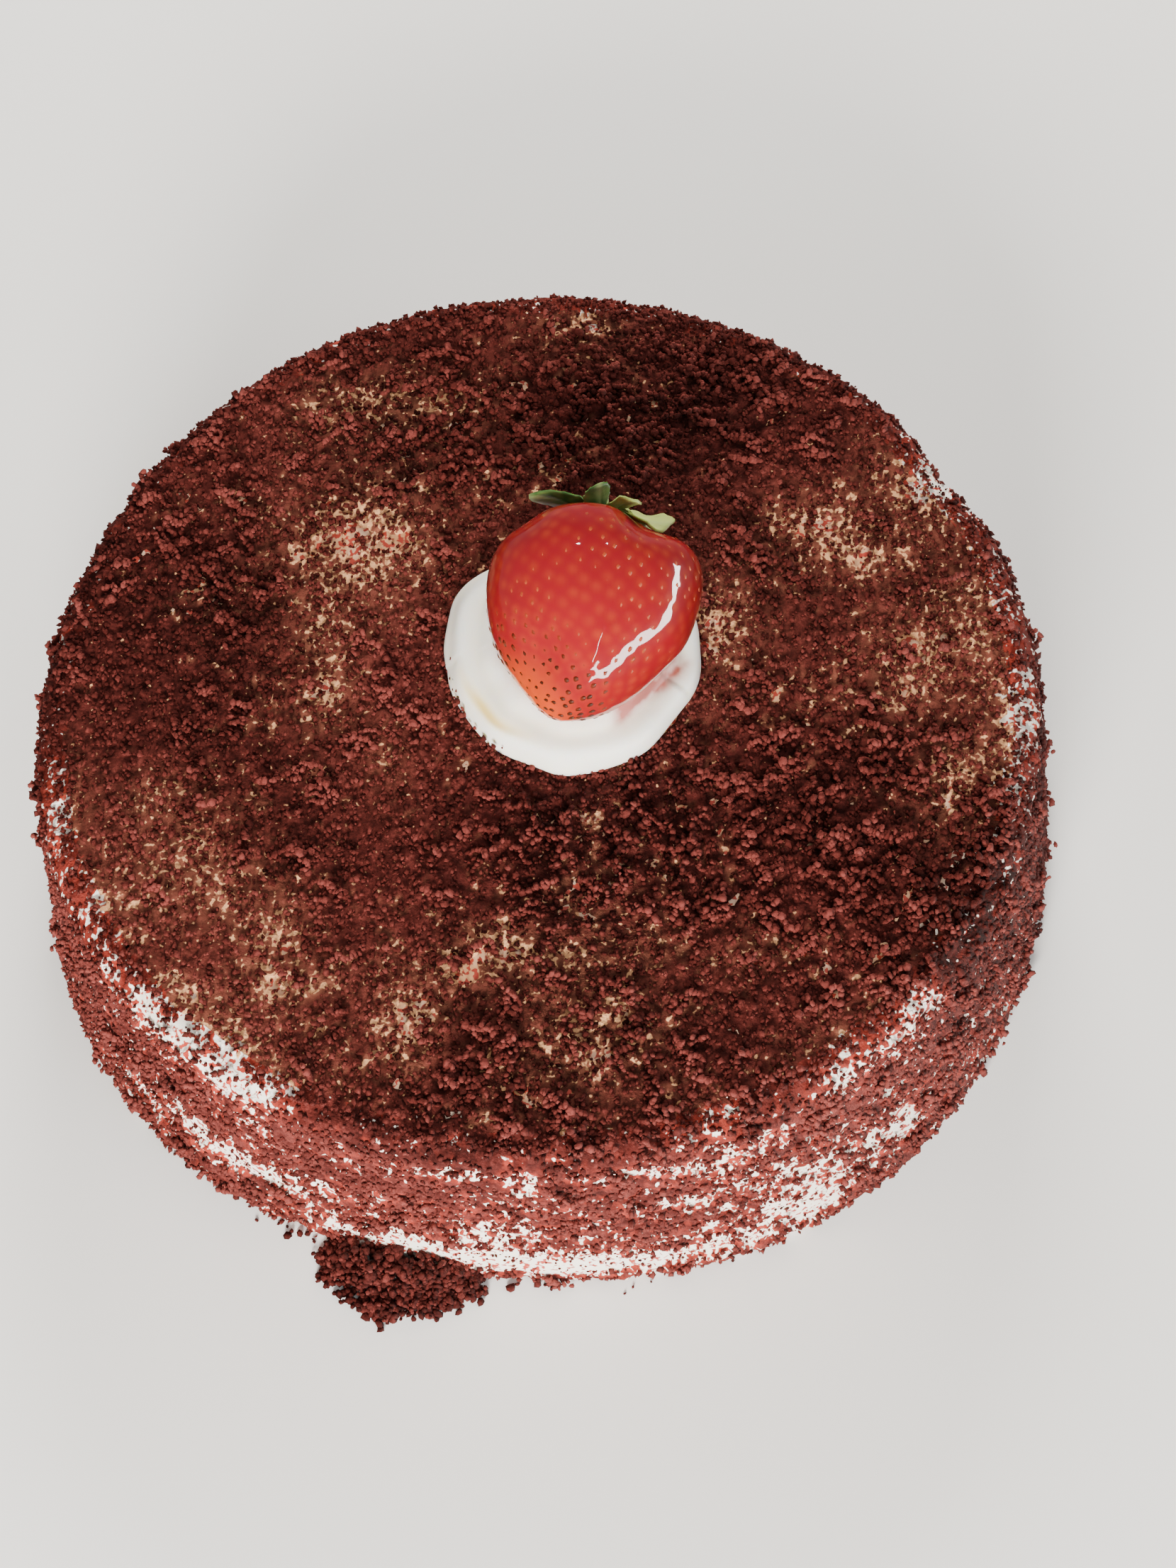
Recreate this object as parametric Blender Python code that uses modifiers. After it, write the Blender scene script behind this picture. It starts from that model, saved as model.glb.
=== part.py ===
"""Round cream cake coated in cake crumbs, with a piped rosette that carries one glazed berry.

The model stands on z = 0 with the middle of its base at the origin, and its front faces -Y.
"""

import math
import random

import bmesh
import bpy
from mathutils import Matrix, Vector, noise

MM = 0.001

# Cake: an 8 inch round, coated
CAKE_HEIGHT = 55.0 * MM
RIM_RADIUS = 98.5 * MM
FOOT_RADIUS = 104.5 * MM
RIM_ROUNDING = 5.0 * MM
FOOT_ROUNDING = 2.0 * MM
ROUNDING_STEPS = 5
CAKE_TURN_STEPS = 96
COAT_FACE = 4.9 * MM

# How far the hand-spread outline strays from a circle: (waves round the cake, depth, phase)
OUTLINE_WAVES = ((2, 0.5 * MM, 0.6), (3, 1.2 * MM, 1.83), (4, 1.0 * MM, -1.75))
RIM_WAVE_SHARE = 0.35
RIM_DENT_ANGLE = math.radians(27)
RIM_DENT_WIDTH = math.radians(7)
RIM_DENT_DEPTH = 2.2 * MM

# Crumb coat
CLUMP_SIZE = 7.0 * MM
CLUMP_RELIEF = 2.2 * MM
CRUMB_SIZE = 3.0 * MM
CRUMB_RELIEF = 1.3 * MM
CLUMP_MIDDLE = 0.55
BASE_FLAT = 0.3 * MM
BASE_CLEAR = 2.0 * MM
LOOSE_CRUMBS_TOP = 30
LOOSE_CRUMBS_TOP_REACH = (0.36, 0.94)
LOOSE_CRUMBS_RIM = 16
LOOSE_CRUMBS_RIM_DROP = (1.0 * MM, 9.0 * MM)
LOOSE_CRUMB_RADII = (1.6 * MM, 3.2 * MM)
LOOSE_CRUMB_SINK = 1.5 * MM
DRIFT_ANGLES = (math.radians(-119), math.radians(-102))
DRIFT_LUMPS = 11
DRIFT_LUMP_RADII = (4.2 * MM, 5.6 * MM)
DRIFT_SPREAD = 6.5 * MM
FLOOR_CLEAR = 0.2 * MM

# Cream rosette
ROSETTE_CENTRE = Vector((8.0 * MM, 5.0 * MM))
ROSETTE_RADIUS = 25.5 * MM
ROSETTE_HEIGHT = 13.0 * MM
ROSETTE_TURN_STEPS = 66
ROSETTE_RIDGE_PITCH = 6.2 * MM
ROSETTE_RIDGE_DEPTH = 0.8 * MM
ROSETTE_SCALLOPS = 11
ROSETTE_SCALLOP_DEPTH = 0.45 * MM
ROPE_END_ANGLE = math.radians(-28)
ROPE_END_STEP = 0.9 * MM
SEAT_GAP = 0.3 * MM

# Berry: its own +Z runs from the calyx to the tip
BERRY_LENGTH = 43.0 * MM
BERRY_WIDTH = 40.5 * MM
BERRY_THICKNESS = 36.0 * MM
BERRY_WIDEST = 0.36
BERRY_BEND = 4.0 * MM
BERRY_LUMPS = ((3, 0.025, 1.0), (2, 0.015, -0.4))
# Where it is flatter or fuller than a plain berry, in its own frame: (x, z, depth, spread)
BERRY_DENTS = (
    (10.0 * MM, -17.0 * MM, 3.1 * MM, 5.6 * MM),
    (-13.5 * MM, -15.0 * MM, 0.9 * MM, 4.0 * MM),
    (-9.5 * MM, 13.0 * MM, 2.2 * MM, 6.5 * MM),
    (17.0 * MM, 5.0 * MM, -0.6 * MM, 5.0 * MM),
    (-3.0 * MM, 21.0 * MM, 0.6 * MM, 4.0 * MM),
)
BERRY_CENTRE = Vector((12.3 * MM, 2.8 * MM, 76.5 * MM))
BERRY_POINTS_TO = Vector((-0.16, -0.95, -0.26))
BERRY_POINTS = 820
SEED_PITS = 150
SEED_PIT_DEPTH = 0.7 * MM
SEED_PIT_SPAN = 0.072
NECK_DIP = 2.4 * MM
NECK_SPREAD = 6.0 * MM
CUTTER_POINTS = 500
CUTTER_GROWTH = 0.45 * MM

# Calyx: for each sepal (angle in degrees, length, curl at the tip, tilt to one side, fullness)
SEPALS = (
    (-38, 12.0 * MM, 2.5 * MM, 0.0, 1.8),
    (20, 14.5 * MM, 1.4 * MM, -5.0 * MM, 3.0),
    (54, 11.0 * MM, 3.2 * MM, -0.8 * MM, 2.6),
    (90, 8.6 * MM, 3.0 * MM, -2.4 * MM, 2.6),
    (163, 14.6 * MM, 2.2 * MM, 6.0 * MM, 1.5),
    (226, 13.0 * MM, 3.0 * MM, 0.0, 1.6),
    (272, 12.0 * MM, 3.0 * MM, 0.0, 1.6),
)
SEPAL_THICKNESS = 0.8 * MM
SEPAL_RINGS = 6
SPOKES_A_SEPAL = 6
SEPAL_LIFT = 0.7 * MM
SEPAL_CURL_POWER = 2.6
SEPAL_TILT_POWER = 1.5
HUB_RADIUS = 4.5 * MM
STALK_RADIUS = 1.3 * MM
STALK_FLARE = 1.15
STALK_SIDES = 12
STALK_LENGTH = 4.0 * MM
SHOULDER_STEP = 0.01

SHARP_ANGLE = math.radians(40)
GOLDEN_TURN = math.pi * (3 - math.sqrt(5))


def clear_scene():
    """Removes what the opened file holds."""
    for obj in list(bpy.data.objects):
        bpy.data.objects.remove(obj)


def new_collection(name):
    """A collection linked to the scene."""
    made = bpy.data.collections.new(name)
    bpy.context.scene.collection.children.link(made)
    return made


def plain_material(name, color, roughness):
    """A Principled material with one colour."""
    material = bpy.data.materials.new(name)
    material.use_nodes = True
    shader = material.node_tree.nodes["Principled BSDF"]
    shader.inputs["Base Color"].default_value = (*color, 1.0)
    shader.inputs["Roughness"].default_value = roughness
    shader.inputs["Metallic"].default_value = 0.0
    return material


def object_from(bm, name, collection):
    """A new object that holds the bmesh."""
    mesh = bpy.data.meshes.new(name)
    bm.to_mesh(mesh)
    bm.free()
    obj = bpy.data.objects.new(name, mesh)
    collection.objects.link(obj)
    return obj


def bake_modifiers(obj):
    """Makes the object's evaluated mesh its own, and drops its modifiers."""
    graph = bpy.context.evaluated_depsgraph_get()
    graph.update()
    mesh = bpy.data.meshes.new_from_object(obj.evaluated_get(graph))
    obj.modifiers.clear()
    obj.data = mesh


def turned(name, profile, steps, collection):
    """A solid turned about Z. The profile lies in the XZ plane and runs from the axis down to the axis."""
    bm = bmesh.new()
    verts = [bm.verts.new((x, 0.0, z)) for x, z in profile]
    for above, below in zip(verts, verts[1:]):
        bm.edges.new((above, below))
    obj = object_from(bm, name, collection)
    screw = obj.modifiers.new("turn", "SCREW")
    screw.axis = "Z"
    screw.steps = screw.render_steps = steps
    screw.use_merge_vertices = True
    screw.merge_threshold = 0.01 * MM
    bake_modifiers(obj)
    return obj


def triangulate(obj):
    """Splits the object's faces into triangles."""
    bm = bmesh.new()
    bm.from_mesh(obj.data)
    bmesh.ops.triangulate(bm, faces=bm.faces)
    bm.to_mesh(obj.data)
    bm.free()


def join_all(obj, collection):
    """Unites the object with every object of the collection, which are then removed."""
    union = obj.modifiers.new("join", "BOOLEAN")
    union.operation = "UNION"
    union.operand_type = "COLLECTION"
    union.collection = collection
    union.solver = "MANIFOLD"
    bake_modifiers(obj)
    for piece in list(collection.objects):
        bpy.data.objects.remove(piece)
    bpy.data.collections.remove(collection)


def smooth_step(low, high, value):
    """0 below low, 1 above high, and an S curve between."""
    share = min(1.0, max(0.0, (value - low) / (high - low)))
    return share * share * (3 - 2 * share)


def arc(centre_x, centre_z, radius, first, last, steps):
    """Points of an arc in the XZ plane, with the angles in degrees above +X."""
    angles = [math.radians(first + (last - first) * k / steps) for k in range(steps + 1)]
    return [(centre_x + radius * math.cos(a), centre_z + radius * math.sin(a)) for a in angles]


# ---------------------------------------------------------------- cake


def side_radius(z):
    """The coated side's mean radius at a height."""
    return FOOT_RADIUS + (RIM_RADIUS - FOOT_RADIUS) * z / CAKE_HEIGHT


def cake_profile():
    """Half section of the cake: level top, rounded rim, side that spreads to the foot, flat base."""
    rim = arc(RIM_RADIUS - RIM_ROUNDING, CAKE_HEIGHT - RIM_ROUNDING, RIM_ROUNDING, 90, 0, ROUNDING_STEPS)
    foot = arc(FOOT_RADIUS - FOOT_ROUNDING, FOOT_ROUNDING, FOOT_ROUNDING, 0, -90, ROUNDING_STEPS)
    return [(0.0, CAKE_HEIGHT), *rim, *foot, (0.0, 0.0)]


def outline_shift(angle, z):
    """How far the cake's outline lies outside a circle at this angle and height."""
    height = z / CAKE_HEIGHT
    waves = sum(depth * math.cos(count * angle + phase) for count, depth, phase in OUTLINE_WAVES)
    off_dent = math.remainder(angle - RIM_DENT_ANGLE, math.tau) / RIM_DENT_WIDTH
    dent = RIM_DENT_DEPTH * math.exp(-off_dent * off_dent) * height**3
    return waves * (1 - (1 - RIM_WAVE_SHARE) * height) - dent


def crumb_height(point):
    """Relief of the crumb coat: rounded clumps with single crumbs on them."""
    clump = noise.voronoi(point / CLUMP_SIZE)[0][0]
    crumb = noise.noise(point / CRUMB_SIZE)
    return CLUMP_RELIEF * (CLUMP_MIDDLE - clump) + CRUMB_RELIEF * crumb


def under_rosette(point):
    """1 where the rosette covers the cake's top, 0 outside it."""
    off = (Vector(point.xy) - ROSETTE_CENTRE).length
    on_top = smooth_step(CAKE_HEIGHT - 2 * RIM_ROUNDING, CAKE_HEIGHT - RIM_ROUNDING, point.z)
    return on_top * (1 - smooth_step(ROSETTE_RADIUS + 1.5 * MM, ROSETTE_RADIUS + 4.5 * MM, off))


def make_cake(parts):
    """The coated cake, with its crumb relief, its loose crumbs and the crumbs drifted at its foot."""
    cake = turned("cake", cake_profile(), CAKE_TURN_STEPS, parts)
    remesh = cake.modifiers.new("even_faces", "REMESH")
    remesh.mode = "VOXEL"
    remesh.voxel_size = COAT_FACE
    bake_modifiers(cake)

    bm = bmesh.new()
    bm.from_mesh(cake.data)
    bm.normal_update()
    moved = [(vert, coat_point(vert.co, vert.normal)) for vert in bm.verts]
    for vert, place in moved:
        vert.co = place
    base = [face for face in bm.faces if all(vert.co.z < 0.01 * MM for vert in face.verts)]
    bmesh.ops.dissolve_faces(bm, faces=base)
    bmesh.ops.triangulate(bm, faces=bm.faces)
    bm.to_mesh(cake.data)
    bm.free()

    crumbs = new_collection("loose_crumbs")
    scatter_crumbs(crumbs)
    pile_drift(crumbs)
    join_all(cake, crumbs)
    return cake


def coat_point(point, normal):
    """Where a point of the plain turned cake lies on the uneven, crumb-coated one."""
    angle = math.atan2(point.y, point.x)
    radius = point.xy.length
    share = (radius / RIM_RADIUS) ** 3
    outward = Vector((math.cos(angle), math.sin(angle), 0.0))
    settled = point + outward * outline_shift(angle, point.z) * share
    shown = smooth_step(BASE_FLAT, BASE_CLEAR, point.z)
    lift = crumb_height(point) * shown * (1 - under_rosette(point))
    settled += normal * lift
    if point.z < BASE_FLAT:
        settled.z = 0.0
    return settled


def crumb_lump(name, centre, radius, draw, collection):
    """One irregular crumb: a small faceted ball, stretched and knocked out of true."""
    bm = bmesh.new()
    bmesh.ops.create_icosphere(bm, subdivisions=1, radius=radius)
    stretch = Vector((draw.uniform(0.8, 1.3), draw.uniform(0.8, 1.3), draw.uniform(0.7, 1.0)))
    for vert in bm.verts:
        knocked = vert.co * draw.uniform(0.82, 1.12)
        place = centre + Vector(a * b for a, b in zip(knocked, stretch))
        place.z = max(place.z, FLOOR_CLEAR)
        vert.co = place
    return object_from(bm, name, collection)


def scatter_crumbs(collection):
    """The largest loose crumbs: strewn over the top, and along the rim and the side."""
    draw = random.Random(5)
    inner, outer = LOOSE_CRUMBS_TOP_REACH
    for k in range(LOOSE_CRUMBS_TOP):
        share = (k + draw.random()) / LOOSE_CRUMBS_TOP
        radius = (inner + (outer - inner) * math.sqrt(share)) * RIM_RADIUS
        angle = k * GOLDEN_TURN + draw.uniform(-0.3, 0.3)
        size = draw.uniform(*LOOSE_CRUMB_RADII)
        centre = Vector((radius * math.cos(angle), radius * math.sin(angle), CAKE_HEIGHT))
        crumb_lump(f"top_crumb_{k}", centre, size, draw, collection)
    for k in range(LOOSE_CRUMBS_RIM):
        angle = math.tau * (k + draw.uniform(-0.3, 0.3)) / LOOSE_CRUMBS_RIM
        height = CAKE_HEIGHT - draw.uniform(*LOOSE_CRUMBS_RIM_DROP)
        radius = side_radius(height) + outline_shift(angle, height) - LOOSE_CRUMB_SINK
        centre = Vector((radius * math.cos(angle), radius * math.sin(angle), height))
        crumb_lump(f"rim_crumb_{k}", centre, draw.uniform(*LOOSE_CRUMB_RADII), draw, collection)


def pile_drift(collection):
    """The drift of fallen crumbs that leans on the foot at the front left."""
    draw = random.Random(11)
    first, last = DRIFT_ANGLES
    for k in range(DRIFT_LUMPS):
        share = k / (DRIFT_LUMPS - 1)
        angle = first + (last - first) * share
        outer = k % 2
        size = draw.uniform(*DRIFT_LUMP_RADII)
        reach = outer * DRIFT_SPREAD * (0.55 + 0.45 * math.sin(math.pi * share))
        radius = FOOT_RADIUS + outline_shift(angle, 0.0) + reach
        height = size * (0.5 if outer else 0.95)
        centre = Vector((radius * math.cos(angle), radius * math.sin(angle), height))
        crumb_lump(f"drift_crumb_{k}", centre, size, draw, collection)


# ---------------------------------------------------------------- rosette


def rosette_profile():
    """Half section of the piped cream, above its own flat base."""
    crown = [(0.0, 1.0), (0.16, 1.0), (0.32, 0.97), (0.48, 0.9), (0.62, 0.8), (0.74, 0.69)]
    skirt = [(0.85, 0.56), (0.94, 0.4), (1.0, 0.22), (0.99, 0.08), (0.94, 0.0), (0.0, 0.0)]
    return [(ROSETTE_RADIUS * x, ROSETTE_HEIGHT * z) for x, z in crown + skirt]


def swirl_point(point):
    """Lays the spiral of the piped rope, its ridges and its end step into the turned rosette."""
    angle = math.atan2(point.y, point.x)
    radius = point.xy.length
    above = smooth_step(0.0, 3.0 * MM, point.z)
    turn = math.tau * radius / ROSETTE_RIDGE_PITCH - angle
    ridge = ROSETTE_RIDGE_DEPTH * math.cos(turn) * above
    scallop = ROSETTE_SCALLOP_DEPTH * math.cos(ROSETTE_SCALLOPS * angle + 3 * radius / ROSETTE_RADIUS)
    past_end = (angle - ROPE_END_ANGLE) % math.tau / math.tau
    climb = ROPE_END_STEP * (past_end - 0.5) * above * smooth_step(0.0, 0.06, past_end)
    outward = Vector((math.cos(angle), math.sin(angle), 0.0)) * smooth_step(0, ROSETTE_RADIUS, radius)
    return point + Vector((0, 0, ridge + climb)) + outward * (scallop + 0.6 * ridge)


def make_rosette(parts, berry_cutter):
    """The piped cream, with the hollow that the berry has pressed into it."""
    rosette = turned("cream_rosette", rosette_profile(), ROSETTE_TURN_STEPS, parts)
    for vert in rosette.data.vertices:
        vert.co = swirl_point(vert.co)
    base = Vector((*ROSETTE_CENTRE, CAKE_HEIGHT + SEAT_GAP))
    rosette.data.transform(Matrix.Translation(base))
    press = rosette.modifiers.new("berry_hollow", "BOOLEAN")
    press.operation = "DIFFERENCE"
    press.object = berry_cutter
    bake_modifiers(rosette)
    return rosette


# ---------------------------------------------------------------- berry


def berry_frame():
    """The matrix that lays the berry on the cream: its own +Z becomes the way its tip points."""
    forward = BERRY_POINTS_TO.normalized()
    across = Vector((0, 0, 1)).cross(forward).normalized()
    up = forward.cross(across)
    turn = Matrix((across, up, forward)).transposed().to_4x4()
    return Matrix.Translation(BERRY_CENTRE) @ turn


def berry_radius(share):
    """Half width of the berry at a share of its length from the calyx, as a share of the widest."""
    if share < BERRY_WIDEST:
        up = (BERRY_WIDEST - share) / BERRY_WIDEST
        return math.sqrt(max(0.0, 1 - up**2.3))
    down = (share - BERRY_WIDEST) / (1 - BERRY_WIDEST)
    return max(0.0, 1 - down**1.75) ** 0.62


def berry_point(direction, growth=0.0):
    """The berry's surface in the direction of a unit vector, in the berry's own frame."""
    share = (1 + direction.z) / 2
    around = math.atan2(direction.y, direction.x)
    radius = berry_radius(share)
    lumps = 1 + sum(depth * math.cos(count * around + phase) for count, depth, phase in BERRY_LUMPS)
    x = (BERRY_WIDTH / 2 * radius * lumps + growth * radius) * math.cos(around)
    y = (BERRY_THICKNESS / 2 * radius * lumps + growth * radius) * math.sin(around)
    dip = NECK_DIP * math.exp(-((math.hypot(x, y) / NECK_SPREAD) ** 2)) if share < 0.5 else 0.0
    z = BERRY_LENGTH * (share - 0.5) + dip + growth * direction.z
    x -= BERRY_BEND * share**2
    point = Vector((x, y, z))
    for dent_x, dent_z, depth, spread in BERRY_DENTS:
        dent = depth * math.exp(-((math.hypot(x - dent_x, z - dent_z) / spread) ** 2))
        point -= Vector((dent_x, 0, dent_z)).normalized() * dent
    return point


def spiral_directions(count):
    """Unit vectors spread evenly over a sphere along a golden spiral."""
    found = []
    for k in range(count):
        z = 1 - 2 * (k + 0.5) / count
        ring = math.sqrt(1 - z * z)
        found.append(Vector((ring * math.cos(k * GOLDEN_TURN), ring * math.sin(k * GOLDEN_TURN), z)))
    return found


def berry_hull(name, directions, growth, collection):
    """A closed skin through the berry's surface in these directions. The skin is found on the sphere."""
    bm = bmesh.new()
    for direction in directions:
        bm.verts.new(direction)
    bmesh.ops.convex_hull(bm, input=bm.verts)
    for vert in bm.verts:
        vert.co = berry_point(vert.co.copy(), growth)
    return object_from(bm, name, collection)


def make_berry(parts):
    """The berry, with a pit at each seed."""
    pits = spiral_directions(SEED_PITS)
    near = [d for d in spiral_directions(BERRY_POINTS) if all((d - p).length > SEED_PIT_SPAN for p in pits)]
    berry = berry_hull("strawberry", pits + near, 0.0, parts)
    count = len(pits)
    for vert in berry.data.vertices[:count]:
        vert.co -= vert.co.normalized() * SEED_PIT_DEPTH
    berry.data.transform(berry_frame())
    return berry


def make_berry_cutter(helpers):
    """The berry grown by the gap that it keeps to the cream."""
    cutter = berry_hull("berry_cutter", spiral_directions(CUTTER_POINTS), CUTTER_GROWTH, helpers)
    cutter.data.transform(berry_frame())
    cutter.hide_render = True
    cutter.display_type = "WIRE"
    return cutter


# ---------------------------------------------------------------- calyx


def shoulder_line(distance, around, lift):
    """A point this far along the berry's shoulder from its neck, lifted off the skin."""
    out = Vector((math.cos(around), math.sin(around), 0))
    last = berry_point(Vector((0, 0, -1)))
    run = out
    polar = 0.0
    walked = 0.0
    while walked < distance:
        polar += SHOULDER_STEP
        place = berry_point(out * math.sin(polar) - Vector((0, 0, math.cos(polar))))
        run = (place - last).normalized()
        walked += (place - last).length
        last = place
    skin_normal = out * run.z - Vector((0, 0, run.dot(out)))
    return last + skin_normal * lift


def sepal_point(flat):
    """Where a point of a flat disc of radius 1 lies on the star of sepals."""
    angles = [math.radians(angle) for angle, *_ in SEPALS] + [math.radians(SEPALS[0][0]) + math.tau]
    place = math.atan2(flat.y, flat.x) % math.tau / math.tau * len(SEPALS)
    before = int(place)
    around = angles[before] + (angles[before + 1] - angles[before]) * (place - before)
    nearest = round(place)
    aside = 2 * (place - nearest)
    _, length, curl, tilt, fullness = SEPALS[nearest % len(SEPALS)]
    reach = HUB_RADIUS + (length - HUB_RADIUS) * (1 - abs(aside) ** fullness)
    distance = reach * flat.xy.length
    out = distance / length
    lift = SEPAL_LIFT + curl * out**SEPAL_CURL_POWER + tilt * aside * out**SEPAL_TILT_POWER
    return shoulder_line(distance, around, max(SEPAL_LIFT, lift))


def make_calyx(parts):
    """The star of pointed sepals that curl off the berry's shoulder, with a stump of stalk."""
    spoke = [(k / SEPAL_RINGS, 0.0) for k in range(SEPAL_RINGS + 1)]
    calyx = turned("calyx", spoke, len(SEPALS) * SPOKES_A_SEPAL, parts)
    for vert in calyx.data.vertices:
        vert.co = sepal_point(vert.co.copy())
    thick = calyx.modifiers.new("leaf_thickness", "SOLIDIFY")
    thick.thickness = SEPAL_THICKNESS
    thick.offset = -1.0
    bake_modifiers(calyx)
    triangulate(calyx)

    stalks = new_collection("stalks")
    bm = bmesh.new()
    foot_z = berry_point(Vector((0, 0, -1))).z - SEPAL_LIFT - SEPAL_THICKNESS / 2
    middle = Matrix.Translation((0, 0, foot_z - STALK_LENGTH / 2))
    flared = STALK_FLARE * STALK_RADIUS
    bmesh.ops.create_cone(
        bm, cap_ends=True, segments=STALK_SIDES, radius1=flared, radius2=STALK_RADIUS, depth=STALK_LENGTH,
        matrix=middle,
    )
    object_from(bm, "stalk", stalks)
    join_all(calyx, stalks)
    calyx.data.transform(berry_frame())
    return calyx


def main():
    """Builds the cake and its topping."""
    clear_scene()
    parts = new_collection("crumb_cake")
    helpers = new_collection("cutters")
    cake = make_cake(parts)
    berry = make_berry(parts)
    rosette = make_rosette(parts, make_berry_cutter(helpers))
    calyx = make_calyx(parts)
    finishes = (
        (cake, plain_material("crumb_coat", (0.11, 0.03, 0.022), 0.9)),
        (rosette, plain_material("whipped_cream", (0.93, 0.88, 0.78), 0.4)),
        (berry, plain_material("berry_red", (0.6, 0.03, 0.02), 0.15)),
        (calyx, plain_material("leaf_green", (0.1, 0.2, 0.04), 0.5)),
    )
    for obj, material in finishes:
        obj.data.materials.clear()
        obj.data.materials.append(material)
        obj.data.shade_smooth()
        obj.data.set_sharp_from_angle(angle=SHARP_ANGLE)


main()
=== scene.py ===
"""Finished surfaces for the crumb cake: cream, cake crumbs, piped rosette, glazed berry and its leaves."""

import itertools
import math

import bmesh
import bpy
import numpy as np
from bpy.props import FloatProperty, FloatVectorProperty, IntProperty, PointerProperty
from mathutils import Matrix, Vector
from mathutils.kdtree import KDTree


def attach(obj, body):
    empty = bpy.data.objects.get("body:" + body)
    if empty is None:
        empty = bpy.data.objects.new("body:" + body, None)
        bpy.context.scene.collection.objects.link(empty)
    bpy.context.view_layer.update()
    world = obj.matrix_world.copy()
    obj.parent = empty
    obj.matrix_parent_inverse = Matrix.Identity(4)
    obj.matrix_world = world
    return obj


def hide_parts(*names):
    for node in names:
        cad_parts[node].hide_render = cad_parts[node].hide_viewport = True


bl_info = {
    "name": "Crumb Cake",
    "version": (1, 0, 0),
    "blender": (4, 5, 0),
    "location": "3D View > Sidebar > Cake",
    "description": "Dresses the cake's solids with cream, crumbs, a rosette and a glazed berry",
    "category": "Object",
}

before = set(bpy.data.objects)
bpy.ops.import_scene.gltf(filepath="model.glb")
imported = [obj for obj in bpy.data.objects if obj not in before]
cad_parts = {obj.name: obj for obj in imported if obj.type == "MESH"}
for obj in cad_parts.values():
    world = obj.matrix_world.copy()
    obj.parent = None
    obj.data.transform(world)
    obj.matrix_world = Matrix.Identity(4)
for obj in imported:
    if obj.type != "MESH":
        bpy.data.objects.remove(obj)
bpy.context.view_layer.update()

MM = 0.001
GOLDEN_TURN = math.pi * (3 - math.sqrt(5))
# Each octave of noise is turned against the last, so that no grid shows
OCTAVE_TURN = np.array(Matrix.Rotation(1.1, 3, Vector((0.4, 0.7, 0.6))))

# How far the hand-spread outline strays from a circle: (waves round the cake, depth, phase)
OUTLINE_WAVES = ((2, 0.5 * MM, 0.6), (3, 1.2 * MM, 1.83), (4, 1.0 * MM, -1.75))
RIM_WAVE_SHARE = 0.35
RIM_DENT_ANGLE = math.radians(27)
RIM_DENT_WIDTH = math.radians(7)
RIM_DENT_DEPTH = 2.2 * MM

# Where the cream shows through on top, in mm: (x, y, half width, half depth, how bare)
BARE_TOP = (
    (-33, 38, 10, 9, 1.25),
    (-35, 72, 7, 5, 0.9),
    (-16, 70, 6, 5, 0.9),
    (14, 88, 7, 4, 0.6),
    (-41, 4, 4, 6, 0.9),
    (-40, 20, 4, 5, 0.8),
    (-30, -12, 3, 5, 0.6),
    (-70, -28, 7, 6, 0.78),
    (-75, -17, 5, 4, 0.6),
    (-75, -38, 5, 4, 0.55),
    (-63, -39, 4, 5, 0.65),
    (-52, -45, 4, 6, 0.75),
    (-50, -58, 7, 3, 0.9),
    (-28, -68, 4, 6, 0.9),
    (5, -72, 7, 8, 1.0),
    (0, -57, 6, 3, 0.7),
    (-10, -55, 4, 4, 0.7),
    (-18, -58, 4, 3, 0.7),
    (36, 10, 6, 8, 1.0),
    (58, 33, 7, 5, 0.9),
    (68, 25, 6, 4, 0.8),
    (77, 3, 7, 6, 1.0),
    (85, 5, 4, 5, 0.8),
    (71, -8, 4, 4, 0.7),
    (80, -25, 6, 5, 0.8),
    (78, -33, 4, 4, 0.7),
    (90, -30, 3, 5, 0.8),
    (25, -92, 5, 3, 0.7),
    (35, -60, 3, 3, 0.6),
    (84, 41, 7, 8, 1.25),
    (93, -14, 5, 11, 1.15),
    (92, 12, 4, 6, 0.9),
    (-86, -39, 3, 5, 0.8),
    (-83, -51, 3, 4, 0.5),
    (-93, -18, 3, 7, 1.1),
    (-76, -60, 5, 4, 1.0),
    (-71, -66, 6, 4, 1.3),
    (-63, -74, 6, 4, 1.3),
    (-57, -79, 5, 3, 0.8),
    (50, -85, 5, 3, 0.8),
    (58, -79, 6, 3, 0.7),
    (67, -73, 6, 3, 0.9),
)
# Where crumbs lie thick and coarse on top, in the same terms
COARSE_TOP = (
    (32, -36, 40, 20, 1.0),
    (38, 64, 36, 20, 0.75),
    (-12, 62, 26, 16, 0.6),
    (-66, 30, 24, 34, 0.5),
    (-20, -82, 40, 10, 0.6),
    (70, -45, 22, 22, 0.6),
)
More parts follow.
